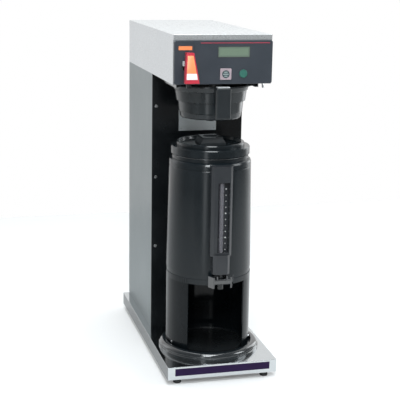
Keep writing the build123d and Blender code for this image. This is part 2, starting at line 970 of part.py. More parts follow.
def heater_spot():
    return (0, (tank_front_y + tank_back_y) / 2 + heater_y)


def probe_spots():
    y = (tank_front_y + tank_back_y) / 2 - probe_forward
    return [(-probe_x, y), (probe_x, y)]


def make_tank_lid():
    half = tank_width / 2 + tank_flange
    part = block(-half, half, tank_front_y - tank_flange, tank_back_y + tank_flange,
                 tank_top_z, lid_plate_z)
    part = fillet(upright_edges(part), tank_corner)
    for x, y in lid_bolt_spots():
        part -= post(bolt_r + hole_gap, tank_top_z - 1, lid_plate_z + 1, x, y)
    hx, hy = heater_spot()
    for sx in (-1, 1):
        part -= post(heater_leg_r + hole_gap, tank_top_z - 1, lid_plate_z + 1,
                     hx + sx * heater_half_span, hy)
    for x, y in probe_spots():
        part -= post(probe_r + hole_gap, tank_top_z - 1, lid_plate_z + 1, x, y)
    return part


def make_lid_bolts():
    bolts = []
    for x, y in lid_bolt_spots():
        under = tank_top_z - sheet
        part = post(bolt_r, tank_top_z - bolt_tail, lid_plate_z, x, y)
        part += post(bolt_head_r, lid_plate_z, lid_plate_z + bolt_head, x, y)
        part += post(bolt_head_r, under - bolt_head, under, x, y)
        bolts.append(part)
    return bolts


def make_tank_bars():
    bars = []
    for y in (tank_front_y + bar_end_inset, tank_back_y - bar_end_inset - bar_depth):
        part = block(-inner_half, inner_half, y, y + bar_depth, tank_z - bar_sheet, tank_z)
        part += block(-inner_half, inner_half, y, y + bar_sheet, tank_z - bar_height, tank_z)
        bars.append(part)
    return bars


def make_heater():
    hx, hy = heater_spot()
    low = tank_top_z - heater_drop
    top = lid_plate_z + heater_head_height + heater_terminal
    a = hx - heater_half_span
    b = hx + heater_half_span
    part = pipe(heater_leg_r, [(a, hy, top), (a, hy, low), (b, hy, low), (b, hy, top)],
                heater_bend)
    return part + post(heater_head_r, lid_plate_z, lid_plate_z + heater_head_height, hx, hy)


def make_probe(spot, drop):
    x, y = spot
    part = post(probe_r, tank_top_z - drop, lid_plate_z, x, y)
    return part + post(probe_head_r, lid_plate_z, lid_plate_z + probe_head_height, x, y)


def make_thermostat():
    y = (tank_front_y + tank_back_y) / 2 - probe_forward
    top = lid_plate_z + thermostat_height
    half_w = blade_width / 2
    half_l = blade_length / 2
    part = post(thermostat_r, lid_plate_z, top, 0, y)
    return part + block(-half_w, half_w, y - half_l, y + half_l, top, top + blade_height)


def brew_valve_z():
    return tank_top_z - sheet - valve_height - valve_drop


def make_brew_valve():
    half = valve_width / 2
    z0 = brew_valve_z()
    y0 = tank_front_y - valve_depth
    part = block(-half, half, y0, tank_front_y, z0, z0 + valve_height)
    part += post(coil_r, z0 - coil_height, z0, 0, y0 + valve_depth / 2)
    return part + rod_y(valve_stub_r, y0 - valve_stub, y0, 0, z0 + valve_height / 2)


def make_spray_pipe():
    z = brew_valve_z() + valve_height / 2
    y0 = tank_front_y - valve_depth - valve_stub
    return pipe(spray_pipe_r, [(0, y0, z), (0, funnel_y, z), (0, funnel_y, spray_hub_z)],
                spray_pipe_bend)


def make_spray_head():
    low = hood_floor_z - spray_head_height
    top = hood_floor_z + sheet
    clamp_r = spray_hub_r + spray_clamp_width
    points = [(0, low), (spray_head_r - spray_edge, low), (spray_head_r, low + spray_edge),
              (spray_head_r, hood_floor_z), (spray_hub_r, hood_floor_z), (spray_hub_r, top),
              (clamp_r, top), (clamp_r, top + spray_clamp), (spray_hub_r, top + spray_clamp),
              (spray_hub_r, spray_hub_z), (0, spray_hub_z)]
    part = turned(points, funnel_y)
    for ring in range(1, 4):
        count = 6 * ring
        for i in range(count):
            turn = 2 * pi * i / count
            x = ring * spray_ring_pitch * cos(turn)
            y = funnel_y + ring * spray_ring_pitch * sin(turn)
            part -= post(spray_hole_r, low - 1, low + spray_hole_depth, x, y)
    return part


def valve_corner():
    return back_y - sheet - inlet_inside - valve_depth


def make_inlet_valve():
    half = valve_width / 2
    y0 = valve_corner()
    part = block(inlet_x - half, inlet_x + half, y0, y0 + valve_depth,
                 inlet_z - valve_height / 2, inlet_z + valve_height / 2)
    return part + rod_y(coil_r, y0 - coil_height, y0, inlet_x, inlet_z)


def make_inlet_fitting():
    y0 = back_y - sheet - inlet_inside
    part = rod_y(inlet_thread_r, y0, back_y + inlet_reach, inlet_x, inlet_z)
    part += rod_y(inlet_flange_r, y0, back_y - sheet, inlet_x, inlet_z)
    collar = Plane.XZ * RegularPolygon(inlet_hex_r, 6)
    length = inlet_reach - inlet_thread_length
    part += Pos(inlet_x, back_y, inlet_z) * extrude(collar, -length)
    return part - rod_y(inlet_bore_r, y0 - 1, back_y + inlet_reach + 1, inlet_x, inlet_z)


def make_refill_pipe():
    y = valve_corner() + valve_depth / 2
    x1 = inlet_x - refill_shift
    y1 = y - refill_forward
    return pipe(pipe_r, [(inlet_x, y, inlet_z + valve_height / 2),
                         (inlet_x, y, tank_z - refill_turn_drop),
                         (x1, y1, tank_z - refill_rise), (x1, y1, tank_z)], refill_bend)


def make_hot_water_pipe():
    y0 = hood_front_y + faucet_shank_inside
    x1 = -tank_width / 2 + tank_corner + hot_pipe_inset
    z1 = faucet_z - hot_pipe_drop
    return pipe(pipe_r, [(faucet_x, y0, faucet_z), (faucet_x, y0 + hot_pipe_first, faucet_z),
                         (x1, y0 + hot_pipe_second, z1), (x1, tank_front_y, z1)], hot_pipe_bend)


def make_cord_gland():
    part = rod_y(gland_body_r, back_y - sheet - gland_inside, back_y + gland_reach,
                 gland_x, inlet_z)
    part += rod_y(gland_flange_r, back_y, back_y + gland_flange, gland_x, inlet_z)
    part += rod_y(gland_flange_r, back_y - sheet - gland_nut, back_y - sheet, gland_x, inlet_z)
    part = chamfer(part.edges().sort_by(Axis.Y)[-1], gland_edge)
    return part - rod_y(gland_bore_r, back_y - sheet - gland_inside - 1,
                        back_y + gland_reach + 1, gland_x, inlet_z)


# Funnel and rails

def rail_ends():
    y1 = trunk_front_y - rail_back_gap
    return y1 - rail_length, y1


def make_funnel_rails():
    y0, y1 = rail_ends()
    inner = funnel_inner_r
    outer = inner + sheet
    rails = []
    for sx in (-1, 1):
        web = sorted((sx * inner, sx * outer))
        lip = sorted((sx * (outer - rail_lip), sx * outer))
        top = sorted((sx * (outer - rail_flange), sx * outer))
        part = block(*web, y0, y1, rim_z - sheet, hood_floor_z)
        part += block(*lip, y0, y1, rim_z - sheet, rim_z)
        part += block(*top, y0, y1, hood_floor_z - sheet, hood_floor_z)
        part += block(*lip, y1 - sheet, y1, rim_z - sheet, hood_floor_z)
        rails.append(part)
    return rails


def funnel_section(wall):
    """The half section of the funnel, drawn in by a wall, from its floor to its rim."""
    step = step_width
    return [(nozzle_r, band_z + wall - funnel_floor_drop),
            (band_r - band_taper - wall - funnel_corner, band_z + wall),
            (band_r - band_taper - wall, band_z + wall + funnel_corner),
            (band_r - wall, low_tier_z - step + wall * 0.4),
            (low_tier_r - low_tier_taper - wall, low_tier_z + wall * 0.4),
            (low_tier_r - wall, mid_tier_z - step + wall * 0.4),
            (mid_tier_r - mid_tier_taper - wall, mid_tier_z + wall * 0.4),
            (mid_tier_r - wall, top_tier_z - step + wall * 0.4),
            (top_tier_r - top_tier_taper - wall, top_tier_z + wall * 0.4),
            (top_tier_r - wall, rim_z)]


def make_funnel():
    outer = [(0, band_z - funnel_floor_drop)] + funnel_section(0) + [(0, rim_z)]
    part = turned(outer, funnel_y)
    part += post(nozzle_r, nozzle_z, band_z, 0, funnel_y)
    rim = post(funnel_rim_r, rim_z, rim_top_z, 0, funnel_y)
    rim += block(-funnel_rim_r, funnel_rim_r, funnel_y - funnel_side / 2,
                 funnel_y + funnel_side / 2, rim_z, rim_top_z)
    part += rim
    half = funnel_handle_width / 2 - funnel_arm_inset
    part += block(-half, half, funnel_pad_y(), funnel_y - mid_tier_r, rim_z - funnel_arm_height,
                  rim_z)
    inner = [(0, band_z + funnel_wall - funnel_floor_drop)] + funnel_section(funnel_wall)
    inner += [(top_tier_r - funnel_wall, rim_top_z + 1), (0, rim_top_z + 1)]
    part -= turned(inner, funnel_y)
    return part - post(nozzle_bore_r, nozzle_z - 1, band_z + funnel_wall + 1, 0, funnel_y)


def funnel_pad_y():
    return funnel_y - top_tier_r - funnel_pad_reach


def make_funnel_handle():
    y0 = funnel_y - funnel_handle_reach
    top = rim_top_z + funnel_grip_proud
    half = funnel_handle_width / 2
    low = top - funnel_handle_height
    grip = block(-half, half, y0, y0 + funnel_grip_depth, low, top)
    grip = fillet(grip.edges().filter_by(Axis.X), funnel_grip_round)
    grip = fillet(upright_edges(grip).group_by(Axis.Y)[0], funnel_grip_corner)
    half -= funnel_arm_inset
    arm = block(-half, half, y0 + funnel_grip_depth / 2, funnel_pad_y(),
                rim_z - funnel_arm_height, rim_z)
    return grip + arm


# Server

def stand_screw_turns():
    return [180 + stand_screw_turn, -stand_screw_turn]


def make_stand_base():
    z0, z1 = base_top_z, stand_rim_z
    inner = stand_r - stand_rim
    skirt = stand_r - stand_step
    groove_z = z0 + stand_foot_height
    section = [(0, z0), (stand_r, z0), (stand_r, groove_z - stand_groove), (skirt, groove_z),
               (skirt, z1), (inner, z1), (inner, stand_floor_z), (0, stand_floor_z)]
    part = turned(section, stand_y)
    rim = part.faces().filter_by(Plane.XY).sort_by(Axis.Z)[-1]
    part = fillet(rim.edges().sort_by(SortBy.LENGTH)[-1], stand_round)
    rim = part.faces().filter_by(Plane.XY).sort_by(Axis.Z)[-1]
    part = fillet(rim.edges().sort_by(SortBy.LENGTH)[0], stand_rim_round)
    part -= post(vessel_r + loose_gap, stand_floor_z, z1 + 1, 0, vessel_y)
    for turn in stand_screw_turns():
        part += stand_lug(turn)
    return part


def at_angle(part, turn):
    return Pos(0, vessel_y, 0) * Rot(0, 0, turn) * part


def stand_lug(turn):
    outer = vessel_r - wall_thickness - lug_setback
    z = stand_floor_z + stand_screw_height
    lug = block(outer - lug_thickness, outer, -lug_width / 2, lug_width / 2, stand_floor_z,
                z + lug_top)
    lug -= rod_x(stand_screw_r, outer - lug_thickness - 1, outer + 1, 0, z)
    return at_angle(lug, turn)


def make_stand_wall():
    part = post(vessel_r, stand_floor_z, bottom_z, 0, vessel_y)
    part -= post(vessel_r - wall_thickness, stand_floor_z - 1, bottom_z + 1, 0, vessel_y)
    reach = 2 * vessel_r
    side = reach * tan(radians(wall_opening))
    wedge = Polyline((0, 0), (-side, -reach), (side, -reach), close=True)
    part -= Pos(0, vessel_y, stand_floor_z - 1) * extrude(make_face(wedge), wall_height + 2)
    for turn in stand_screw_turns():
        part -= at_angle(rod_x(stand_screw_r + hole_gap, vessel_r - wall_thickness - 2,
                               vessel_r + 2, 0, stand_floor_z + stand_screw_height), turn)
    return part


def make_stand_screws():
    screws = []
    z = stand_floor_z + stand_screw_height
    for turn in stand_screw_turns():
        part = rod_x(stand_screw_r, vessel_r - wall_thickness - lug_thickness - 1, vessel_r + 1,
                     0, z)
        part += rod_x(stand_screw_head_r, vessel_r, vessel_r + stand_screw_head, 0, z)
        screws.append(at_angle(part, turn))
    return screws


def make_drip_tray():
    z = stand_floor_z
    inner = tray_r - tray_lip
    section = [(0, z), (tray_r - tray_bevel, z), (tray_r, z + tray_bevel),
               (tray_r, z + tray_height), (inner, z + tray_height),
               (inner - tray_bevel, z + tray_floor), (0, z + tray_floor)]
    return turned(section, stand_y)


def make_server_bottom():
    r = vessel_r
    inner = r - vessel_wall
    seam_z = shell_z - seam_height
    floor_z = bottom_z + bottom_floor
    section = [(0, bottom_z), (r - bottom_bevel, bottom_z), (r, bottom_z + bottom_bevel),
               (r, seam_z - seam_slope), (r - seam_depth, seam_z), (r - seam_depth, shell_z),
               (inner, shell_z), (inner, floor_z), (0, floor_z)]
    return turned(section, vessel_y)


def shell_r(z):
    """The outer radius of the shell, which narrows a little towards its shoulder."""
    return vessel_r - shell_draft * (z - shell_z) / shell_height


def make_server_shell():
    r = shell_r(shoulder_z)
    neck = vessel_r - neck_inset
    z = shoulder_z
    low = z - groove_drop
    high = low + groove_height
    bore = liner_r + loose_gap
    section = [(vessel_r, shell_z), (shell_r(low), low),
               (shell_r(low) - groove_depth, low + groove_slope),
               (shell_r(high) - groove_depth, high - groove_slope), (shell_r(high), high),
               (r, z - shoulder_round), (r - shoulder_mid_inset, z - shoulder_mid_drop),
               (r - shoulder_width, z), (neck, z), (neck, neck_z), (bore, neck_z),
               (bore, z - shoulder_wall), (r - vessel_wall, z - shoulder_wall_slope),
               (vessel_r - vessel_wall, shell_z)]
    part = turned(section, vessel_y)
    return part - tap_hole()


def tap_hole():
    z = tap_z + shank_rise - tap_rise
    return rod_y(shank_r + loose_gap, vessel_y - vessel_r - tap_hole_out,
                 vessel_y - liner_r + tap_hole_in, 0, z)


def make_server_liner():
    r = liner_r
    inner = r - liner_wall
    flange = vessel_r - neck_inset - liner_flange_margin
    floor_z = liner_z + liner_wall
    section = [(0, liner_z), (r - liner_bevel, liner_z), (r, liner_z + liner_bevel), (r, neck_z),
               (flange, neck_z), (flange, neck_z + liner_wall), (inner, neck_z + liner_wall),
               (inner, floor_z + liner_inner_bevel), (inner - liner_inner_bevel, floor_z),
               (0, floor_z)]
    return turned(section, vessel_y) - tap_hole()


def make_server_collar():
    r = vessel_r - collar_inset
    inner = lid_r - lid_seat
    z0 = neck_z + liner_wall
    z1 = collar_top_z
    section = [(inner, z0), (r - collar_bevel, z0), (r, z0 + collar_bevel), (r, z1 - collar_bevel),
               (r - collar_top_round, z1), (inner + collar_bore_bevel, z1),
               (inner, z1 - collar_bore_bevel)]
    return turned(section, vessel_y)


def make_server_lid():
    plug = lid_r - lid_seat - loose_gap
    z0 = collar_top_z
    low = z0 - lid_plug_depth
    under = lid_floor_z - lid_floor_thickness
    rim = lid_r - lid_rim
    section = [(fill_hole_r, under), (plug - lid_plug_wall, under), (plug - lid_plug_wall, low),
               (plug, low), (plug, z0), (lid_r, z0), (lid_r, lid_top_z - lid_edge_height),
               (lid_r - lid_edge_step, lid_top_z - lid_edge_top),
               (lid_r - lid_edge_width, lid_top_z), (rim + lid_slope_top, lid_top_z),
               (rim - lid_slope_bottom, lid_floor_z), (fill_hole_r, lid_floor_z)]
    return turned(section, vessel_y)


def make_lid_grip():
    z1 = grip_top_z
    z0 = lid_floor_z
    low = Rectangle(grip_width, grip_depth)
    top_width = grip_width - 2 * grip_chamfer
    top_depth = grip_depth - grip_chamfer
    high = Pos(0, 0, grip_height - grip_band) * Rectangle(top_width, top_depth)
    part = loft([Pos(0, 0, grip_band) * low, high])
    part += Pos(0, 0, grip_band / 2) * Box(grip_width, grip_depth, grip_band)
    part += Pos(0, 0, grip_height - grip_band / 2) * Box(top_width, top_depth, grip_band)
    part = Pos(0, vessel_y, z0) * part
    dish = Cone(fill_hole_r, fill_hole_r + dish_flare, dish_depth)
    dish = Pos(0, vessel_y, z1 - dish_depth / 2) * dish
    return part - post(fill_hole_r, z0 - 1, z1 + 1, 0, vessel_y) - dish


def make_mixing_tube():
    z1 = lid_floor_z - lid_floor_thickness
    part = post(tube_r, z1 - tube_length, z1, 0, vessel_y)
    part += post(tube_r + tube_flange, z1 - tube_flange_height, z1, 0, vessel_y)
    return part - post(tube_bore_r, z1 - tube_length - 1, z1 + 1, 0, vessel_y)


def housing_outline(half, reach, cut):
    """The plan of the housing, from inside the vessel's skin out to its front."""
    y0 = vessel_y - vessel_r + housing_depth
    y1 = vessel_y - vessel_r - reach
    return make_face(Polyline((-half, y0), (-half, y1 + cut), (-half + cut, y1),
                              (half - cut, y1), (half, y1 + cut), (half, y0), close=True))


def make_gauge_housing():
    top = shoulder_z - housing_drop
    low = tap_z + housing_rise
    shield_top = low + shield_height
    part = Pos(0, 0, shield_top - shield_overlap) * extrude(
        housing_outline(housing_width / 2, housing_reach, housing_chamfer),
        top - shield_top + shield_overlap)
    part += Pos(0, 0, low) * extrude(
        housing_outline(shield_width / 2, shield_reach, housing_chamfer), shield_height)
    part -= turned([(0, low - 1), (shell_r(low - 1) + running_gap, low - 1),
                    (shell_r(top + 1) + running_gap, top + 1), (0, top + 1)], vessel_y)
    window_top = top - gauge_window_top
    half = gauge_window_width / 2
    part -= block(gauge_window_shift - half, gauge_window_shift + half, housing_y - 1,
                  gauge_y + gauge_r + gauge_back_gap, window_top - gauge_window_height,
                  window_top)
    part -= post(gauge_r + loose_gap, low, window_top + gauge_cover, 0, gauge_y)
    part -= post(tap_r + loose_gap, low - 1, tap_top_z + loose_gap, 0, tap_y)
    z = tap_z + shank_rise - tap_rise
    part -= block(-shank_r - loose_gap, shank_r + loose_gap, tap_y,
                  vessel_y - vessel_r + housing_depth + 1, low - 1, z + shank_r + loose_gap)
    return part


def make_gauge_tube():
    top = shoulder_z - housing_drop - gauge_window_top + gauge_cover
    part = post(gauge_r, tap_top_z, top, 0, gauge_y)
    return part - post(gauge_r - gauge_wall, tap_top_z + gauge_end, top - gauge_end, 0, gauge_y)


def make_server_faucet():
    part = post(tap_r, tap_z, tap_top_z, 0, tap_y)
    part = chamfer(part.edges().sort_by(Axis.Z)[0], tap_bevel)
    part += post(spout_r, tap_z - spout_drop, tap_z + 1, 0, tap_y)
    part -= post(spout_bore_r, tap_z - spout_drop - 1, tap_z + shank_rise + spout_bore_top, 0,
                 tap_y)
    z = tap_z + shank_rise - tap_rise
    inner = liner_r - liner_wall
    shank_end = vessel_y - inner + shank_inside
    part += rod_y(shank_r, tap_y + tap_r - shank_root, shank_end, 0, z)
    part += rod_y(shank_r + shank_nut_rim, vessel_y - inner + shank_nut_near,
                  vessel_y - inner + shank_nut_far, 0, z)
    part -= rod_y(shank_bore_r, tap_y, shank_end + 1, 0, z)
    reach = tap_r + lever_pin_out + lever_cheek
    for sx in (-1, 1):
        x0, x1 = sorted((sx * (tap_r - lever_pin_root), sx * reach))
        part += rod_x(lever_pin_r, x0, x1, tap_y, lever_pin_z)
    return part


def make_faucet_lever():
    inner = tap_r + cheek_gap
    outer = inner + lever_cheek
    bar_y = tap_y - lever_reach
    z0 = lever_pin_z - lever_bar_drop
    part = block(-lever_bar_width / 2, lever_bar_width / 2, bar_y, bar_y + lever_bar_depth,
                 z0, z0 + lever_bar_height)
    part = fillet(part.edges().filter_by(Axis.X), lever_bar_round)
    for sx in (-1, 1):
        x0, x1 = sorted((sx * inner, sx * outer))
        part += block(x0, x1, bar_y + cheek_front, tap_y + cheek_back, z0 + cheek_low,
                      lever_pin_z + cheek_top)
        part -= rod_x(lever_pin_r + running_gap, x0 - 0.1, x1 + 0.1, tap_y, lever_pin_z)
        root = lever_bar_width / 2 - ear_root
        a = (sx * root, bar_y)
        b = (sx * (root + ear_spread), bar_y + ear_length)
        ear = make_face(Polyline(a, b, (b[0] + sx * lever_cheek, b[1]),
                                 (a[0] + sx * (lever_cheek + ear_taper), a[1]), close=True))
        part += Pos(0, 0, z0 - ear_drop) * extrude(ear, ear_height)
    return part


nodes = {
    "base_plate": make_base_plate,
    "base_strip": make_base_strip,
    "feet": make_feet,
    "foot_screws": make_foot_screws,
    "trunk_shell": make_trunk_shell,
    "trunk_front": make_trunk_front,
    "data_plate": make_data_plate,
    "case_screws": make_case_screws,
    "hood_shell": make_hood_shell,
    "hood_cover": make_hood_cover,
    "hood_floor": make_hood_floor,
    "front_panel": make_front_panel,
    "display_window": make_display_window,
    "display_module": make_display_module,
    "control_board": make_control_board,
    "board_screws": make_board_screws,
    "square_button": make_square_button,
    "round_button": make_round_button,
    "toggle_switch": make_toggle_switch,
    "toggle_lever": make_toggle_lever,
    "faucet_body": make_faucet_body,
    "faucet_ring": make_faucet_ring,
    "faucet_nut": make_faucet_nut,
    "faucet_pin": make_faucet_pin,
    "faucet_stem": make_faucet_stem,
    "faucet_handle": make_faucet_handle,
    "tank": make_tank,
    "tank_lid": make_tank_lid,
    "lid_bolts": make_lid_bolts,
    "tank_bars": make_tank_bars,
    "heater": make_heater,
    "temperature_probe": lambda: make_probe(probe_spots()[0], probe_drop),
    "level_probe": lambda: make_probe(probe_spots()[1], level_probe_drop),
    "thermostat": make_thermostat,
    "brew_valve": make_brew_valve,
    "spray_pipe": make_spray_pipe,
    "spray_head": make_spray_head,
    "inlet_valve": make_inlet_valve,
    "inlet_fitting": make_inlet_fitting,
    "refill_pipe": make_refill_pipe,
    "hot_water_pipe": make_hot_water_pipe,
    "cord_gland": make_cord_gland,
    "funnel_rails": make_funnel_rails,
    "funnel": make_funnel,
    "funnel_handle": make_funnel_handle,
    "stand_base": make_stand_base,
    "stand_wall": make_stand_wall,
    "stand_screws": make_stand_screws,
    "drip_tray": make_drip_tray,
    "server_bottom": make_server_bottom,
    "server_shell": make_server_shell,
    "server_liner": make_server_liner,
    "server_collar": make_server_collar,
    "server_lid": make_server_lid,
    "lid_grip": make_lid_grip,
    "mixing_tube": make_mixing_tube,
    "gauge_housing": make_gauge_housing,
    "gauge_tube": make_gauge_tube,
    "server_faucet": make_server_faucet,
    "faucet_lever": make_faucet_lever,
}

os.makedirs("parts", exist_ok=True)
for name, make in nodes.items():
    made = make()
    shape = Compound(children=list(made)) if isinstance(made, list) else made
    export_step(shape, f"parts/{name}.step")
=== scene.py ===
import bpy, bmesh, math
from mathutils import Matrix, Vector


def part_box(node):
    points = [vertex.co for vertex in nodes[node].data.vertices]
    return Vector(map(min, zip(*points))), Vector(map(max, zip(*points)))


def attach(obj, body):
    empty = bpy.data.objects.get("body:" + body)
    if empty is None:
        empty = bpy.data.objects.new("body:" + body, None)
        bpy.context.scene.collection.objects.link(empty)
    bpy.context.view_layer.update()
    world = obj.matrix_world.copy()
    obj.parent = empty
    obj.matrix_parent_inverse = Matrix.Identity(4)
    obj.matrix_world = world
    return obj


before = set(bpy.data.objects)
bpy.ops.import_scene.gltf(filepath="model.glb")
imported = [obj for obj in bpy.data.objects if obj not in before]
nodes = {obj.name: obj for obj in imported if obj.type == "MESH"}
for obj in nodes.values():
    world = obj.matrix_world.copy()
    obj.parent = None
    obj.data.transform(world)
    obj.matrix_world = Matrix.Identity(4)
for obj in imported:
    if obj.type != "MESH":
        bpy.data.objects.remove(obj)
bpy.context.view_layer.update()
print("frame loaded,", len(nodes), "nodes")

materials = {}  # every finish of the object by its name


def newMaterial(name):
    mat = bpy.data.materials.new(name)
    mat.use_nodes = True
    tree = mat.node_tree
    tree.nodes.clear()
    out = tree.nodes.new("ShaderNodeOutputMaterial")
    shader = tree.nodes.new("ShaderNodeBsdfPrincipled")
    tree.links.new(shader.outputs["BSDF"], out.inputs["Surface"])
    materials[name] = mat
    return tree, shader


def objectCoords(tree, scale=(1, 1, 1)):
    coord = tree.nodes.new("ShaderNodeTexCoord")
    place = tree.nodes.new("ShaderNodeMapping")
    place.inputs["Scale"].default_value = scale
    tree.links.new(coord.outputs["Object"], place.inputs["Vector"])
    return place.outputs["Vector"]


def noise(tree, vector, scale, detail, rough):
    node = tree.nodes.new("ShaderNodeTexNoise")
    node.inputs["Scale"].default_value = scale
    node.inputs["Detail"].default_value = detail
    node.inputs["Roughness"].default_value = rough
    tree.links.new(vector, node.inputs["Vector"])
    return node.outputs["Fac"]


def spread(tree, value, low, high, fromLow=0.3, fromHigh=0.7):
    node = tree.nodes.new("ShaderNodeMapRange")
    node.inputs["From Min"].default_value = fromLow
    node.inputs["From Max"].default_value = fromHigh
    node.inputs["To Min"].default_value = low
    node.inputs["To Max"].default_value = high
    tree.links.new(value, node.inputs["Value"])
    return node.outputs["Result"]


def compute(tree, operation, first, second=None):
    node = tree.nodes.new("ShaderNodeMath")
    node.operation = operation
    for socket, value in zip(node.inputs, (first, second)):
        if isinstance(value, float):
            socket.default_value = value
        elif value is not None:
            tree.links.new(value, socket)
    return node.outputs[0]


def blendColors(tree, amount, first, second):
    node = tree.nodes.new("ShaderNodeMix")
    node.data_type = "RGBA"
    for socket, color in (("A", first), ("B", second)):
        target = [s for s in node.inputs if s.name == socket and s.type == "RGBA"][0]
        if isinstance(color, (tuple, list)):
            target.default_value = tuple(color[:3]) + (1,)
        else:
            tree.links.new(color, target)
    factor = [s for s in node.inputs if s.name == "Factor" and s.type == "VALUE"][0]
    tree.links.new(amount, factor)
    return [s for s in node.outputs if s.type == "RGBA"][0]


def addBump(tree, shader, value, strength, distance=0.0001):
    node = tree.nodes.new("ShaderNodeBump")
    node.inputs["Strength"].default_value = strength
    node.inputs["Distance"].default_value = distance
    tree.links.new(value, node.inputs["Height"])
    tree.links.new(node.outputs["Normal"], shader.inputs["Normal"])


# painted shade: darker where the surface faces against an axis by more than the limit
def paintShadeFacing(tree, base, axis, limit, factor, fade=0.15):
    shape = tree.nodes.new("ShaderNodeNewGeometry")
    split = tree.nodes.new("ShaderNodeSeparateXYZ")
    tree.links.new(shape.outputs["Normal"], split.inputs[0])
    edge = tree.nodes.new("ShaderNodeMapRange")
    edge.inputs["From Min"].default_value = -limit
    edge.inputs["From Max"].default_value = -limit - fade
    tree.links.new(split.outputs[axis], edge.inputs["Value"])
    paintedShadeColor = tree.nodes.new("ShaderNodeVectorMath")
    paintedShadeColor.operation = "SCALE"
    paintedShadeColor.inputs["Scale"].default_value = factor
    tree.links.new(base, paintedShadeColor.inputs[0])
    return blendColors(tree, edge.outputs["Result"], base, paintedShadeColor.outputs["Vector"])


# sheet steel with a fine grain; grain is small along the brushing
def brushedSteel(name, color, grain, rough=(0.22, 0.34), smudge=0.05, bump=0.03,
                 metallic=1.0, edge=1.0, paintedShadeFaces=()):
    tree, shader = newMaterial(name)
    low, high = rough
    streaks = noise(tree, objectCoords(tree, grain), scale=1500, detail=2, rough=0.6)
    broad = noise(tree, objectCoords(tree, grain), scale=60, detail=2, rough=0.5)
    clouds = noise(tree, objectCoords(tree), scale=7, detail=4, rough=0.55)
    darker = tuple(c * (1 - smudge) for c in color)
    lighter = tuple(min(1.0, c * (1 + smudge * 0.6)) for c in color)
    base = blendColors(tree, spread(tree, streaks, 0, 1), darker, lighter)
    base = blendColors(tree, spread(tree, clouds, 0, 0.5, fromLow=0.35), base, darker)
    base = blendColors(tree, spread(tree, broad, 0, 0.4), base, lighter)
    # painted shade on the faces turned against an axis
    for axis, limit, factor in paintedShadeFaces:
        base = paintShadeFacing(tree, base, axis, limit, factor)
    tree.links.new(base, shader.inputs["Base Color"])
    cloudRough = spread(tree, clouds, low, low + 0.04)
    streakRough = spread(tree, streaks, 0, high - low)
    tree.links.new(compute(tree, "ADD", streakRough, cloudRough), shader.inputs["Roughness"])
    addBump(tree, shader, streaks, bump)
    shader.inputs["Metallic"].default_value = metallic
    shader.inputs["Specular Tint"].default_value = (edge, edge, edge, 1)


# moulded plastic, film or paint: a fine surface grain and soft clouding
def plastic(name, color, rough, grain, tint, depth=0.00002, specular=0.5, coat=0.0, coatRough=0.1):
    tree, shader = newMaterial(name)
    fine = noise(tree, objectCoords(tree), scale=grain, detail=2, rough=0.6)
    clouds = noise(tree, objectCoords(tree), scale=14, detail=4, rough=0.6)
    lighter = tuple(min(1.0, c * (1 + tint) + 0.001) for c in color)
    darker = tuple(c * (1 - tint) for c in color)
    base = blendColors(tree, spread(tree, clouds, 0, 1), darker, lighter)
    tree.links.new(base, shader.inputs["Base Color"])
    uneven = spread(tree, clouds, rough[0], rough[1], fromLow=0.35, fromHigh=0.65)
    tree.links.new(uneven, shader.inputs["Roughness"])
    addBump(tree, shader, fine, 0.35, depth)
    shader.inputs["Specular IOR Level"].default_value = specular
    shader.inputs["Coat Weight"].default_value = coat
    shader.inputs["Coat Roughness"].default_value = coatRough


# turned or cast metal with faint scratches
def castMetal(name, color, rough):
    tree, shader = newMaterial(name)
    marks = noise(tree, objectCoords(tree), scale=60, detail=5, rough=0.65)
    worn = tuple(c * 0.9 for c in color)
    base = blendColors(tree, spread(tree, marks, 0, 1), worn, color)
    tree.links.new(base, shader.inputs["Base Color"])
    tree.links.new(spread(tree, marks, rough[0], rough[1]), shader.inputs["Roughness"])
    addBump(tree, shader, marks, 0.05)
    shader.inputs["Metallic"].default_value = 1.0


# the display: an even green field with painted shade, a little darker towards its edges as if
# shaded by the rim round it
def displayGreen(name, low, high, glass, edge, fade=0.005):
    tree, shader = newMaterial(name)
    coord = tree.nodes.new("ShaderNodeTexCoord")
    split = tree.nodes.new("ShaderNodeSeparateXYZ")
    tree.links.new(coord.outputs["Object"], split.inputs[0])
    nearShadedEdge = []
    for axis, a, b in (("X", low.x, high.x), ("Z", low.z, high.z)):
        offset = compute(tree, "SUBTRACT", split.outputs[axis], (a + b) / 2)
        half = (b - a) / 2
        nearShadedEdge.append(spread(tree, compute(tree, "ABSOLUTE", offset), 0, 1, half - fade, half))
    reach = compute(tree, "MAXIMUM", nearShadedEdge[0], nearShadedEdge[1])
    cells = noise(tree, objectCoords(tree), scale=700, detail=1, rough=0.5)
    field = blendColors(tree, spread(tree, cells, 0, 0.25), glass, edge)
    # painted shade towards the display's border
    field = blendColors(tree, spread(tree, reach, 0, 0.75, 0, 1), field, edge)
    tree.links.new(field, shader.inputs["Base Color"])
    shader.inputs["Roughness"].default_value = 0.22
    shader.inputs["Coat Weight"].default_value = 0.4


# clear plastic with a faint film of use inside
def clearTube(name, color):
    tree, shader = newMaterial(name)
    film = noise(tree, objectCoords(tree), scale=120, detail=3, rough=0.5)
    filmed = tuple(c * 0.85 for c in color)
    base = blendColors(tree, spread(tree, film, 0, 1), color, filmed)
    tree.links.new(base, shader.inputs["Base Color"])
    tree.links.new(spread(tree, film, 0.12, 0.3), shader.inputs["Roughness"])
    shader.inputs["IOR"].default_value = 1.48
    shader.inputs["Alpha"].default_value = 0.6


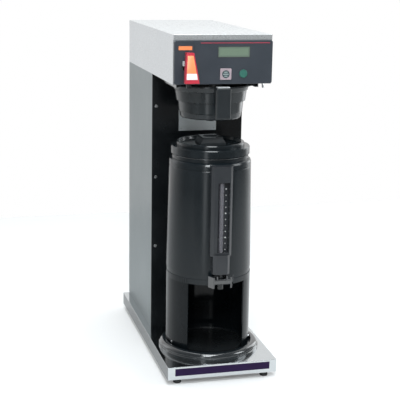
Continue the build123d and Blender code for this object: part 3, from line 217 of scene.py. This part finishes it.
brushedInDepth = (1, 0.03, 1)
brushedUpright = (1, 1, 0.03)
steelLooks = dict(
    hoodSteel=dict(color=(0.54, 0.565, 0.585), grain=brushedInDepth),
    # the hood's top is a lighter copy of the hood's steel: painted light on the top
    coverSteel=dict(color=(0.74, 0.765, 0.775), grain=brushedInDepth, metallic=0.85, edge=0.8),
    # the trunk's side is a much darker copy of the same stainless steel: painted shade
    trunkSteel=dict(color=(0.245, 0.28, 0.29), grain=brushedUpright, rough=(0.26, 0.36), edge=0.8),
    # baseSteel carries painted shade: its faces that look to the left, against X, are darker
    baseSteel=dict(color=(0.69, 0.72, 0.735), grain=brushedInDepth, rough=(0.09, 0.15), bump=0.01,
                   edge=0.75, paintedShadeFaces=[("X", 0.7, 0.4)]),
    insideSteel=dict(color=(0.55, 0.56, 0.57), grain=(1, 1, 0.05), rough=(0.3, 0.45)),
    plateAluminium=dict(color=(0.62, 0.66, 0.67), grain=(0.05, 1, 1), rough=(0.4, 0.55)),
)
metalLooks = dict(
    screwSteel=dict(color=(0.5, 0.51, 0.52), rough=(0.2, 0.35)),
    polishedChrome=dict(color=(0.78, 0.79, 0.80), rough=(0.08, 0.16)),
    darkChrome=dict(color=(0.12, 0.125, 0.13), rough=(0.12, 0.22)),
    warmBrass=dict(color=(0.62, 0.45, 0.2), rough=(0.25, 0.4)),
    copperTube=dict(color=(0.62, 0.3, 0.18), rough=(0.25, 0.4)),
)
plasticLooks = dict(
    frontPaint=dict(color=(0.0055, 0.0068, 0.0078), rough=(0.16, 0.24), grain=260, tint=0.3,
                    specular=0.35),
    panelFilm=dict(color=(0.032, 0.039, 0.049), rough=(0.34, 0.44), grain=1400, tint=0.06),
    funnelPlastic=dict(color=(0.011, 0.0155, 0.018), rough=(0.17, 0.25), grain=500, tint=0.2),
    handlePlastic=dict(color=(0.010, 0.0132, 0.0155), rough=(0.26, 0.36), grain=900, tint=0.2,
                       depth=0.00003),
    housingPlastic=dict(color=(0.026, 0.029, 0.033), rough=(0.2, 0.28), grain=1000, tint=0.12),
    serverPlastic=dict(color=(0.005, 0.0085, 0.011), rough=(0.17, 0.24), grain=1100, tint=0.15,
                       depth=0.00003, specular=0.38),
    standPlastic=dict(color=(0.0045, 0.0065, 0.008), rough=(0.07, 0.12), grain=700, tint=0.2,
                      specular=0.2),
    discPlastic=dict(color=(0.010, 0.0135, 0.016), rough=(0.10, 0.16), grain=700, tint=0.2,
                     specular=0.8, coat=0.35, coatRough=0.14),
    lidPlastic=dict(color=(0.007, 0.0105, 0.0128), rough=(0.12, 0.2), grain=800, tint=0.2,
                    depth=0.00003, specular=0.35),
    gripPlastic=dict(color=(0.030, 0.035, 0.038), rough=(0.12, 0.2), grain=800, tint=0.15,
                     depth=0.00003, specular=0.8),
    leverPlastic=dict(color=(0.02, 0.022, 0.024), rough=(0.06, 0.12), grain=700, tint=0.2,
                      specular=0.8, coat=1.0, coatRough=0.05),
    tapPlastic=dict(color=(0.010, 0.012, 0.013), rough=(0.2, 0.3), grain=700, tint=0.2,
                    depth=0.00003),
    trayPlastic=dict(color=(0.009, 0.0105, 0.0115), rough=(0.2, 0.3), grain=700, tint=0.25,
                     depth=0.00004),
    footRubber=dict(color=(0.014, 0.015, 0.016), rough=(0.6, 0.75), grain=600, tint=0.25,
                    depth=0.0002),
    stripFilm=dict(color=(0.017, 0.006, 0.041), rough=(0.3, 0.4), grain=1300, tint=0.12,
                   specular=0.15),
    redPlastic=dict(color=(0.43, 0.025, 0.045), rough=(0.2, 0.3), grain=800, tint=0.06,
                    depth=0.00003, coat=0.25),
    orangeFilm=dict(color=(0.80, 0.26, 0.10), rough=(0.3, 0.4), grain=1300, tint=0.06),
    whiteFilm=dict(color=(0.78, 0.72, 0.72), rough=(0.3, 0.4), grain=1300, tint=0.05),
    stripeRed=dict(color=(0.36, 0.04, 0.07), rough=(0.3, 0.4), grain=1300, tint=0.08),
    greyButton=dict(color=(0.36, 0.29, 0.32), rough=(0.35, 0.45), grain=1200, tint=0.06),
    greenButton=dict(color=(0.029, 0.128, 0.10), rough=(0.35, 0.45), grain=1200, tint=0.1),
    symbolDark=dict(color=(0.035, 0.062, 0.068), rough=(0.35, 0.45), grain=1200, tint=0.1),
    symbolPale=dict(color=(0.34, 0.40, 0.40), rough=(0.35, 0.45), grain=1200, tint=0.06),
    tickWhite=dict(color=(0.92, 0.94, 0.95), rough=(0.4, 0.5), grain=1200, tint=0.05),
    # pale grey of the painted highlight pieces by the faucet and on the funnel's handle
    paleGrey=dict(color=(0.50, 0.52, 0.53), rough=(0.25, 0.35), grain=900, tint=0.05),
    lineRose=dict(color=(0.42, 0.20, 0.24), rough=(0.3, 0.4), grain=900, tint=0.08),
    boardGreen=dict(color=(0.03, 0.13, 0.06), rough=(0.4, 0.5), grain=500, tint=0.2,
                    depth=0.00006),
    innerPlastic=dict(color=(0.03, 0.033, 0.035), rough=(0.45, 0.55), grain=900, tint=0.2,
                      depth=0.00005),
)
for maker, looks in ((brushedSteel, steelLooks), (castMetal, metalLooks), (plastic, plasticLooks)):
    for name, look in looks.items():
        maker(name, **look)
clearTube("gaugeClear", (0.17, 0.17, 0.19))
windowLow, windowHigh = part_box("display_window")
# edge is the colour of the painted shade along the display's border
displayGreen("displayFilm", windowLow, windowHigh,
             glass=(0.145, 0.205, 0.145), edge=(0.09, 0.11, 0.10))

finishes = dict(
    hoodSteel=["hood_shell"],
    coverSteel=["hood_cover"],
    trunkSteel=["trunk_shell"],
    baseSteel=["base_plate", "hood_floor", "funnel_rails", "spray_head"],
    insideSteel=["tank", "tank_lid", "tank_bars", "heater", "temperature_probe", "level_probe",
                 "server_liner", "spray_pipe"],
    plateAluminium=["data_plate"],
    screwSteel=["foot_screws", "case_screws", "board_screws", "lid_bolts", "stand_screws",
                "faucet_pin"],
    polishedChrome=["toggle_lever"],
    darkChrome=["faucet_ring"],
    warmBrass=["brew_valve", "inlet_valve", "inlet_fitting"],
    copperTube=["refill_pipe", "hot_water_pipe"],
    frontPaint=["trunk_front"],
    panelFilm=["front_panel"],
    funnelPlastic=["funnel"],
    handlePlastic=["funnel_handle", "faucet_body", "faucet_stem"],
    serverPlastic=["server_shell", "server_bottom"],
    housingPlastic=["gauge_housing"],
    standPlastic=["stand_wall"],
    discPlastic=["stand_base"],
    lidPlastic=["server_collar", "server_lid"],
    gripPlastic=["lid_grip"],
    leverPlastic=["faucet_lever"],
    tapPlastic=["server_faucet"],
    trayPlastic=["drip_tray"],
    footRubber=["feet"],
    stripFilm=["base_strip"],
    redPlastic=["faucet_handle"],
    greyButton=["square_button"],
    greenButton=["round_button"],
    boardGreen=["control_board"],
    innerPlastic=["toggle_switch", "thermostat", "cord_gland", "display_module", "faucet_nut",
                  "mixing_tube"],
    gaugeClear=["gauge_tube"],
    displayFilm=["display_window"],
)
dressed = set()
for look, names in finishes.items():
    for name in names:
        mesh = nodes[name].data
        mesh.materials.clear()
        mesh.materials.append(materials[look])
        dressed.add(name)
print("finishes set; nodes without one:", sorted(set(nodes) - dressed))


def clearSelection():
    if bpy.context.object and bpy.context.object.mode != "OBJECT":
        bpy.ops.object.mode_set(mode="OBJECT")
    bpy.ops.object.select_all(action="DESELECT")


def selectOnly(piece):
    clearSelection()
    piece.select_set(True)
    bpy.context.view_layer.objects.active = piece


# goes to edit mode and selects the faces whose middle and normal pass the test
def pickFaces(piece, test):
    bpy.ops.object.mode_set(mode="EDIT")
    bpy.ops.mesh.select_mode(type="FACE")
    bpy.ops.mesh.select_all(action="DESELECT")
    mesh = bmesh.from_edit_mesh(piece.data)
    for face in mesh.faces:
        face.select_set(test(face.calc_center_median(), face.normal))
    bmesh.update_edit_mesh(piece.data)


# the same for the edges whose two ends pass the test
def pickEdges(piece, test):
    bpy.ops.object.mode_set(mode="EDIT")
    bpy.ops.mesh.select_mode(type="EDGE")
    bpy.ops.mesh.select_all(action="DESELECT")
    mesh = bmesh.from_edit_mesh(piece.data)
    for edge in mesh.edges:
        edge.select_set(test(edge.verts[0].co, edge.verts[1].co))
    bmesh.update_edit_mesh(piece.data)


straight = 0.9  # share of a normal along an axis from which a face looks along it
apart = 1e-4  # ends further apart than this along an axis make an edge along it


def looksForward(middle, normal):
    return normal.y < -straight


def looksAlongY(middle, normal):
    return abs(normal.y) > straight


def looksUp(middle, normal):
    return normal.z > straight


def looksAlongZ(middle, normal):
    return abs(normal.z) > straight


def runsAlongY(a, b):
    return abs(a.y - b.y) > apart


def runsAlongZ(a, b):
    return abs(a.z - b.z) > apart


def block(name, low, high):
    clearSelection()
    low, high = Vector(low), Vector(high)
    bpy.ops.mesh.primitive_cube_add(size=1, location=(low + high) / 2, scale=high - low)
    piece = bpy.context.object
    piece.name = name
    bpy.ops.object.transform_apply(location=True, rotation=True, scale=True)
    return piece


towardsFront = (math.radians(90), 0, 0)  # turns a disc's flat end to the front


def disc(name, radius, depth, place, turn, vertices):
    clearSelection()
    bpy.ops.mesh.primitive_cylinder_add(radius=radius, depth=depth, vertices=vertices,
                                        location=place, rotation=turn)
    piece = bpy.context.object
    piece.name = name
    bpy.ops.object.transform_apply(location=True, rotation=True, scale=True)
    return piece


def bevelAll(piece, width, segments):
    bpy.context.view_layer.objects.active = piece
    bpy.ops.object.mode_set(mode="EDIT")
    bpy.ops.mesh.select_mode(type="EDGE")
    bpy.ops.mesh.select_all(action="SELECT")
    bpy.ops.mesh.bevel(offset=width, segments=segments, profile=0.5, affect="EDGES")
    bpy.ops.object.mode_set(mode="OBJECT")


# ends a piece: object mode, smooth, its finish and its body
def settle(piece, body, look, angle=35):
    selectOnly(piece)
    bpy.ops.object.transform_apply(location=True, rotation=True, scale=True)
    bpy.ops.object.shade_smooth_by_angle(angle=math.radians(angle))
    piece.data.materials.clear()
    piece.data.materials.append(materials[look])
    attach(piece, body)
    return piece


# a second piece with its own mesh, grown about a centre and then moved
def copyPiece(piece, name, move, body, grow=1.0, centre=(0, 0, 0)):
    selectOnly(piece)
    bpy.ops.object.duplicate(linked=False)
    copy = bpy.context.object
    copy.name = name
    bpy.ops.object.mode_set(mode="EDIT")
    bpy.ops.mesh.select_all(action="SELECT")
    bpy.ops.transform.resize(value=(grow, 1, grow), center_override=centre)
    bpy.ops.transform.translate(value=move)
    bpy.ops.object.mode_set(mode="OBJECT")
    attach(copy, body)
    return copy


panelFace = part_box("front_panel")[0].y

stripe = dict(left=-0.051, right=0.1006, bottom=0.7400, top=0.7416, proud=0.0004, sunk=0.0004,
              bevel=0.00018)
piece = block("panelStripe", (stripe["left"], panelFace - stripe["proud"], stripe["bottom"]),
              (stripe["right"], panelFace + stripe["sunk"], stripe["top"]))
bevelAll(piece, stripe["bevel"], 2)
settle(piece, "brewer", "stripeRed")

colourPlate = dict(left=-0.0985, right=-0.0695, bottom=0.7262, top=0.7345, proud=0.0005,
                   sunk=0.0004, corner=0.001, border=0.0005, step=0.0001, dish=0.00015)
piece = block("colourPlate",
              (colourPlate["left"], panelFace - colourPlate["proud"], colourPlate["bottom"]),
              (colourPlate["right"], panelFace + colourPlate["sunk"], colourPlate["top"]))
pickEdges(piece, runsAlongY)
bpy.ops.mesh.bevel(offset=colourPlate["corner"], segments=4, affect="EDGES")
pickFaces(piece, looksForward)
bpy.ops.mesh.inset(thickness=colourPlate["border"], depth=0)
bpy.ops.mesh.inset(thickness=colourPlate["step"], depth=-colourPlate["dish"])
settle(piece, "brewer", "orangeFilm")

# dark rim round the display
rim = dict(width=0.0011, overlap=0.0002, proud=0.0003, sunk=0.0003, findWithin=0.001)
windowX = (windowLow.x + windowHigh.x) / 2
windowZ = (windowLow.z + windowHigh.z) / 2


def fillsRim(middle, normal):
    return (looksAlongY(middle, normal) and abs(middle.x - windowX) < rim["findWithin"]
            and abs(middle.z - windowZ) < rim["findWithin"])


piece = block("displayRim",
              (windowLow.x - rim["width"], panelFace - rim["proud"], windowLow.z - rim["width"]),
              (windowHigh.x + rim["width"], panelFace + rim["sunk"], windowHigh.z + rim["width"]))
pickFaces(piece, looksAlongY)
bpy.ops.mesh.inset(thickness=rim["width"] + rim["overlap"], depth=0)
pickFaces(piece, fillsRim)
bpy.ops.mesh.bridge_edge_loops()
settle(piece, "brewer", "innerPlastic")
print("panel trim done")

squareLow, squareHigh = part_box("square_button")
symbol = dict(radius=0.0082, edge=0.0004, dish=0.0001, proud=0.0003, corner=0.0007,
              barHeight=0.0017, barGap=0.0042, barWidths=(0.0068, 0.0128, 0.0076),
              barFront=1.6, barBack=0.2)  # the bars' front and back, in heights of the disc
symbolX = (squareLow.x + squareHigh.x) / 2
symbolZ = (squareLow.z + squareHigh.z) / 2
piece = disc("symbolDisc", symbol["radius"], symbol["proud"] * 2, (symbolX, squareLow.y, symbolZ),
             towardsFront, vertices=64)
pickFaces(piece, looksForward)
bpy.ops.mesh.inset(thickness=symbol["edge"], depth=-symbol["dish"])
settle(piece, "square_button", "symbolDark")
for i, width in enumerate(symbol["barWidths"]):
    z = symbolZ + (i - 1) * symbol["barGap"]
    piece = block("symbolBar" + str(i),
                  (symbolX - width / 2, squareLow.y - symbol["proud"] * symbol["barFront"],
                   z - symbol["barHeight"] / 2),
                  (symbolX + width / 2, squareLow.y - symbol["proud"] * symbol["barBack"],
                   z + symbol["barHeight"] / 2))
    pickEdges(piece, runsAlongY)
    bpy.ops.mesh.bevel(offset=symbol["corner"], segments=4, affect="EDGES")
    settle(piece, "square_button", "symbolPale")

# flat rim that stands a little out of the round button
roundLow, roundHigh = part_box("round_button")
buttonRim = dict(outer=0.0080, inner=0.0072, proud=0.00025)
roundX = (roundLow.x + roundHigh.x) / 2
roundZ = (roundLow.z + roundHigh.z) / 2


def fillsButtonRim(middle, normal):
    return looksAlongY(middle, normal) and math.hypot(middle.x - roundX, middle.z - roundZ) < apart


piece = disc("roundButtonRim", buttonRim["outer"], buttonRim["proud"] * 2,
             (roundX, roundLow.y, roundZ), towardsFront, vertices=64)
pickFaces(piece, looksAlongY)
bpy.ops.mesh.inset(thickness=buttonRim["outer"] - buttonRim["inner"], depth=0)
pickFaces(piece, fillsButtonRim)
bpy.ops.mesh.bridge_edge_loops()
settle(piece, "round_button", "greenButton")
print("buttons done")

# colour inlays of the red handle, whose front widens and leans out downwards
handleLow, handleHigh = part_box("faucet_handle")
handle = dict(topWidth=0.016, bottomWidth=0.031, topLean=-0.0205, bottomLean=-0.041, proud=0.0005,
              orangeTop=0.7165, orangeBottom=0.6806, whiteBottom=0.6685, sideMargin=0.0026,
              gap=0.0004, bevel=0.00015)
handleX = (handleLow.x + handleHigh.x) / 2


# y of the handle's front and half the inlay's width at a height
def handleFront(z):
    share = (handleHigh.z - z) / (handleHigh.z - handleLow.z)
    y = panelFace + handle["topLean"] + share * (handle["bottomLean"] - handle["topLean"])
    width = handle["topWidth"] + share * (handle["bottomWidth"] - handle["topWidth"])
    return y, width / 2 - handle["sideMargin"]


def handleInlay(name, top, bottom, look):
    topY, topHalf = handleFront(top)
    bottomY, bottomHalf = handleFront(bottom)
    piece = block(name, (handleX - bottomHalf, bottomY - handle["proud"], bottom),
                  (handleX + bottomHalf, bottomY + handle["proud"], top))
    pickFaces(piece, looksUp)
    bpy.ops.transform.resize(value=(topHalf / bottomHalf, 1, 1),
                             center_override=(handleX, bottomY, top))
    bpy.ops.transform.translate(value=(0, topY - bottomY, 0))
    bevelAll(piece, handle["bevel"], 2)
    settle(piece, "faucet_handle", look)


handleInlay("handleOrange", handle["orangeTop"], handle["orangeBottom"] + handle["gap"],
            "orangeFilm")
handleInlay("handleWhite", handle["orangeBottom"], handle["whiteBottom"],
            "whiteFilm")
print("handle inlays done")

# pale block beside the faucet ring, standing for a glint on the faucet: painted highlight
glintBlock = dict(left=-0.0905, right=-0.0825, bottom=0.6935, top=0.7035, reach=0.0045, sunk=0.0005,
           corner=0.0010, border=0.0006, rise=0.0004, slope=0.0008, dish=0.0006)
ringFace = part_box("faucet_ring")[0].y
piece = block("faucetGlintBlock", (glintBlock["left"], ringFace - glintBlock["reach"], glintBlock["bottom"]),
              (glintBlock["right"], ringFace + glintBlock["sunk"], glintBlock["top"]))
pickEdges(piece, runsAlongY)
bpy.ops.mesh.bevel(offset=glintBlock["corner"], segments=4, affect="EDGES")
pickFaces(piece, looksForward)
bpy.ops.mesh.inset(thickness=glintBlock["border"], depth=glintBlock["rise"])
bpy.ops.mesh.inset(thickness=glintBlock["slope"], depth=-glintBlock["dish"])
settle(piece, "brewer", "paleGrey")

# pale strip on top of the funnel's handle, where light glints on its top edge: painted highlight
gripLow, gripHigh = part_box("funnel_handle")
glintStrip = dict(side=0.0022, front=0.0012, back=0.0030, thickness=0.0011, sunk=0.0005,
              corner=0.0020, rim=0.0009, slope=0.0003, dish=0.0003)
piece = block("handleGlintStrip",
              (gripLow.x + glintStrip["side"], gripLow.y + glintStrip["front"],
               gripHigh.z - glintStrip["sunk"]),
              (gripHigh.x - glintStrip["side"], gripHigh.y - glintStrip["back"],
               gripHigh.z + glintStrip["thickness"]))
pickEdges(piece, runsAlongZ)
bpy.ops.mesh.bevel(offset=glintStrip["corner"], segments=5, affect="EDGES")
pickFaces(piece, looksUp)
bpy.ops.mesh.inset(thickness=glintStrip["rim"], depth=0)
bpy.ops.mesh.inset(thickness=glintStrip["slope"], depth=-glintStrip["dish"])
settle(piece, "funnel", "paleGrey")
print("faucet lug and handle insert done")

# ticks behind the sight tube and the thin line in it
tubeLow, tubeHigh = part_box("gauge_tube")
gauge = dict(tickX=0.0115, firstTick=0.290, pitch=0.0136, count=12, small=0.0009, large=0.0014,
             largeEvery=4, firstLarge=2, tickDepth=0.0008, tickBevel=0.0002, behindTube=0.0061,
             lineRadius=0.0011, lineShort=0.006, lineBevel=0.0004)
tubeY = (tubeLow.y + tubeHigh.y) / 2
tickPlace = Vector((gauge["tickX"], tubeY + gauge["behindTube"], gauge["firstTick"]))
tick = disc("gaugeTick0", gauge["small"], gauge["tickDepth"], tickPlace, towardsFront, vertices=16)
pickFaces(tick, looksForward)
bpy.ops.mesh.bevel(offset=gauge["tickBevel"], segments=2, affect="EDGES")
settle(tick, "server", "tickWhite")
for i in range(1, gauge["count"]):
    isLarge = i % gauge["largeEvery"] == gauge["firstLarge"]
    grow = gauge["large"] / gauge["small"] if isLarge else 1.0
    copyPiece(tick, "gaugeTick" + str(i), (0, 0, i * gauge["pitch"]), "server",
              grow, tickPlace)
line = disc("gaugeLine", gauge["lineRadius"], tubeHigh.z - tubeLow.z - gauge["lineShort"],
            (0, tubeY, (tubeLow.z + tubeHigh.z) / 2), (0, 0, 0), vertices=20)
pickFaces(line, looksAlongZ)
bpy.ops.mesh.bevel(offset=gauge["lineBevel"], segments=2, affect="EDGES")
settle(line, "server", "lineRose")
print("gauge done")

# domed rivets at the data plate's corners
plateLow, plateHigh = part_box("data_plate")
rivet = dict(radius=0.0019, height=0.0009, inset=0.005, dome=0.0007)
piece = disc("plateRivet0", rivet["radius"], rivet["height"] * 2,
             (plateLow.x + rivet["inset"], plateLow.y, plateLow.z + rivet["inset"]),
             towardsFront, vertices=24)
pickFaces(piece, looksForward)
bpy.ops.mesh.bevel(offset=rivet["dome"], segments=3, affect="EDGES")
settle(piece, "brewer", "screwSteel", angle=60)
rivetsApartX = plateHigh.x - plateLow.x - 2 * rivet["inset"]
rivetsApartZ = plateHigh.z - plateLow.z - 2 * rivet["inset"]
for i, (x, z) in enumerate(((0, rivetsApartZ), (rivetsApartX, 0), (rivetsApartX, rivetsApartZ))):
    copyPiece(piece, "plateRivet" + str(i + 1), (x, 0, z), "brewer")
print("rivets done")

studio = dict(left=-1.9, right=2.4, front=-1.2, back=1.3, floor=(0.70, 0.705, 0.705),
              floorRough=0.6, glow=0.16, worldFront=0.27, worldBack=1.0, worldTurn=0.6)
clearSelection()
bpy.ops.mesh.primitive_plane_add(size=1, location=((studio["left"] + studio["right"]) / 2,
                                                   (studio["front"] + studio["back"]) / 2, 0))
floor = bpy.context.object
floor.name = "studioFloor"
floor.scale = (studio["right"] - studio["left"], studio["back"] - studio["front"], 1)
bpy.ops.object.transform_apply(location=True, rotation=True, scale=True)
tree, shader = newMaterial("floorWhite")
shader.inputs["Base Color"].default_value = studio["floor"] + (1,)
shader.inputs["Roughness"].default_value = studio["floorRough"]
glow = tree.nodes.new("ShaderNodeEmission")  # lifts the floor to the background's white
glow.inputs["Color"].default_value = (1, 1, 1, 1)
path = tree.nodes.new("ShaderNodeLightPath")
tree.links.new(compute(tree, "MULTIPLY", path.outputs["Is Camera Ray"], studio["glow"]),
               glow.inputs["Strength"])
adder = tree.nodes.new("ShaderNodeAddShader")
out = [n for n in tree.nodes if n.type == "OUTPUT_MATERIAL"][0]
tree.links.new(shader.outputs["BSDF"], adder.inputs[0])
tree.links.new(glow.outputs["Emission"], adder.inputs[1])
tree.links.new(adder.outputs["Shader"], out.inputs["Surface"])
floor.data.materials.append(materials["floorWhite"])

# white where it is seen; as light it is dim in front of the object and full behind it
world = bpy.data.worlds.new("studioWorld")
bpy.context.scene.world = world
world.use_nodes = True
tree = world.node_tree
tree.nodes.clear()
path = tree.nodes.new("ShaderNodeLightPath")
seen = compute(tree, "MAXIMUM", path.outputs["Is Camera Ray"], path.outputs["Is Transmission Ray"])
coord = tree.nodes.new("ShaderNodeTexCoord")
split = tree.nodes.new("ShaderNodeSeparateXYZ")
tree.links.new(coord.outputs["Generated"], split.inputs[0])
around = spread(tree, split.outputs["Y"], studio["worldFront"], studio["worldBack"],
                0, studio["worldTurn"])
level = tree.nodes.new("ShaderNodeMapRange")
level.inputs["To Max"].default_value = 1.0
tree.links.new(around, level.inputs["To Min"])
tree.links.new(seen, level.inputs["Value"])
sky = tree.nodes.new("ShaderNodeBackground")
sky.inputs["Color"].default_value = (1, 1, 1, 1)
tree.links.new(level.outputs["Result"], sky.inputs["Strength"])
worldOut = tree.nodes.new("ShaderNodeOutputWorld")
tree.links.new(sky.outputs[0], worldOut.inputs["Surface"])

lampColor = (0.93, 0.975, 1.0)
lamps = dict(
    topLamp=dict(place=(0.1, 0.5, 2.6), size=(1.6, 1.6), power=28),
    overLamp=dict(place=(-0.13, -0.95, 2.1), size=(0.8, 0.8), power=25),
    frontLamp=dict(place=(-0.7, -2.4, 1.9), size=(0.8, 0.5), power=30),
    stripLamp=dict(place=(-1.35, -2.9, 0.2), size=(0.45, 2.2), power=7, aim=(0, -0.14, 0.3)),
    rightLamp=dict(place=(2.2, -1.0, 1.5), size=(1.0, 1.0), power=20),
    leftRim=dict(place=(-1.5, 1.2, 0.8), size=(0.8, 1.4), power=3),
    rightRim=dict(place=(1.7, 0.9, 0.8), size=(0.8, 1.4), power=8),
)


def softLamp(name, place, size, power, aim=(0, -0.05, 0.35)):
    clearSelection()
    bpy.ops.object.light_add(type="AREA", location=place)
    lamp = bpy.context.object
    lamp.name = name
    lamp.data.shape = "RECTANGLE"
    lamp.data.size, lamp.data.size_y = size
    lamp.data.energy = power
    lamp.data.color = lampColor
    lamp.rotation_euler = (Vector(aim) - Vector(place)).to_track_quat("-Z", "Y").to_euler()


for name, lamp in lamps.items():
    softLamp(name, **lamp)

view = dict(place=(-0.6054, -2.3776, 0.9193), yaw=14.62, pitch=13.11, roll=0.96, lens=94.6,
            sensor=36, clipEnd=200)
cameraData = bpy.data.cameras.new("photoCamera")
camera = bpy.data.objects.new("photoCamera", cameraData)
bpy.context.scene.collection.objects.link(camera)
cameraData.lens = view["lens"]
cameraData.sensor_width = view["sensor"]
cameraData.clip_end = view["clipEnd"]
camera.matrix_world = (Matrix.Translation(view["place"])
                       @ Matrix.Rotation(math.radians(-view["yaw"]), 4, "Z")
                       @ Matrix.Rotation(math.radians(90 - view["pitch"]), 4, "X")
                       @ Matrix.Rotation(math.radians(view["roll"]), 4, "Z"))
bpy.context.scene.camera = camera
bpy.context.scene.view_settings.view_transform = "Standard"
print("studio done")
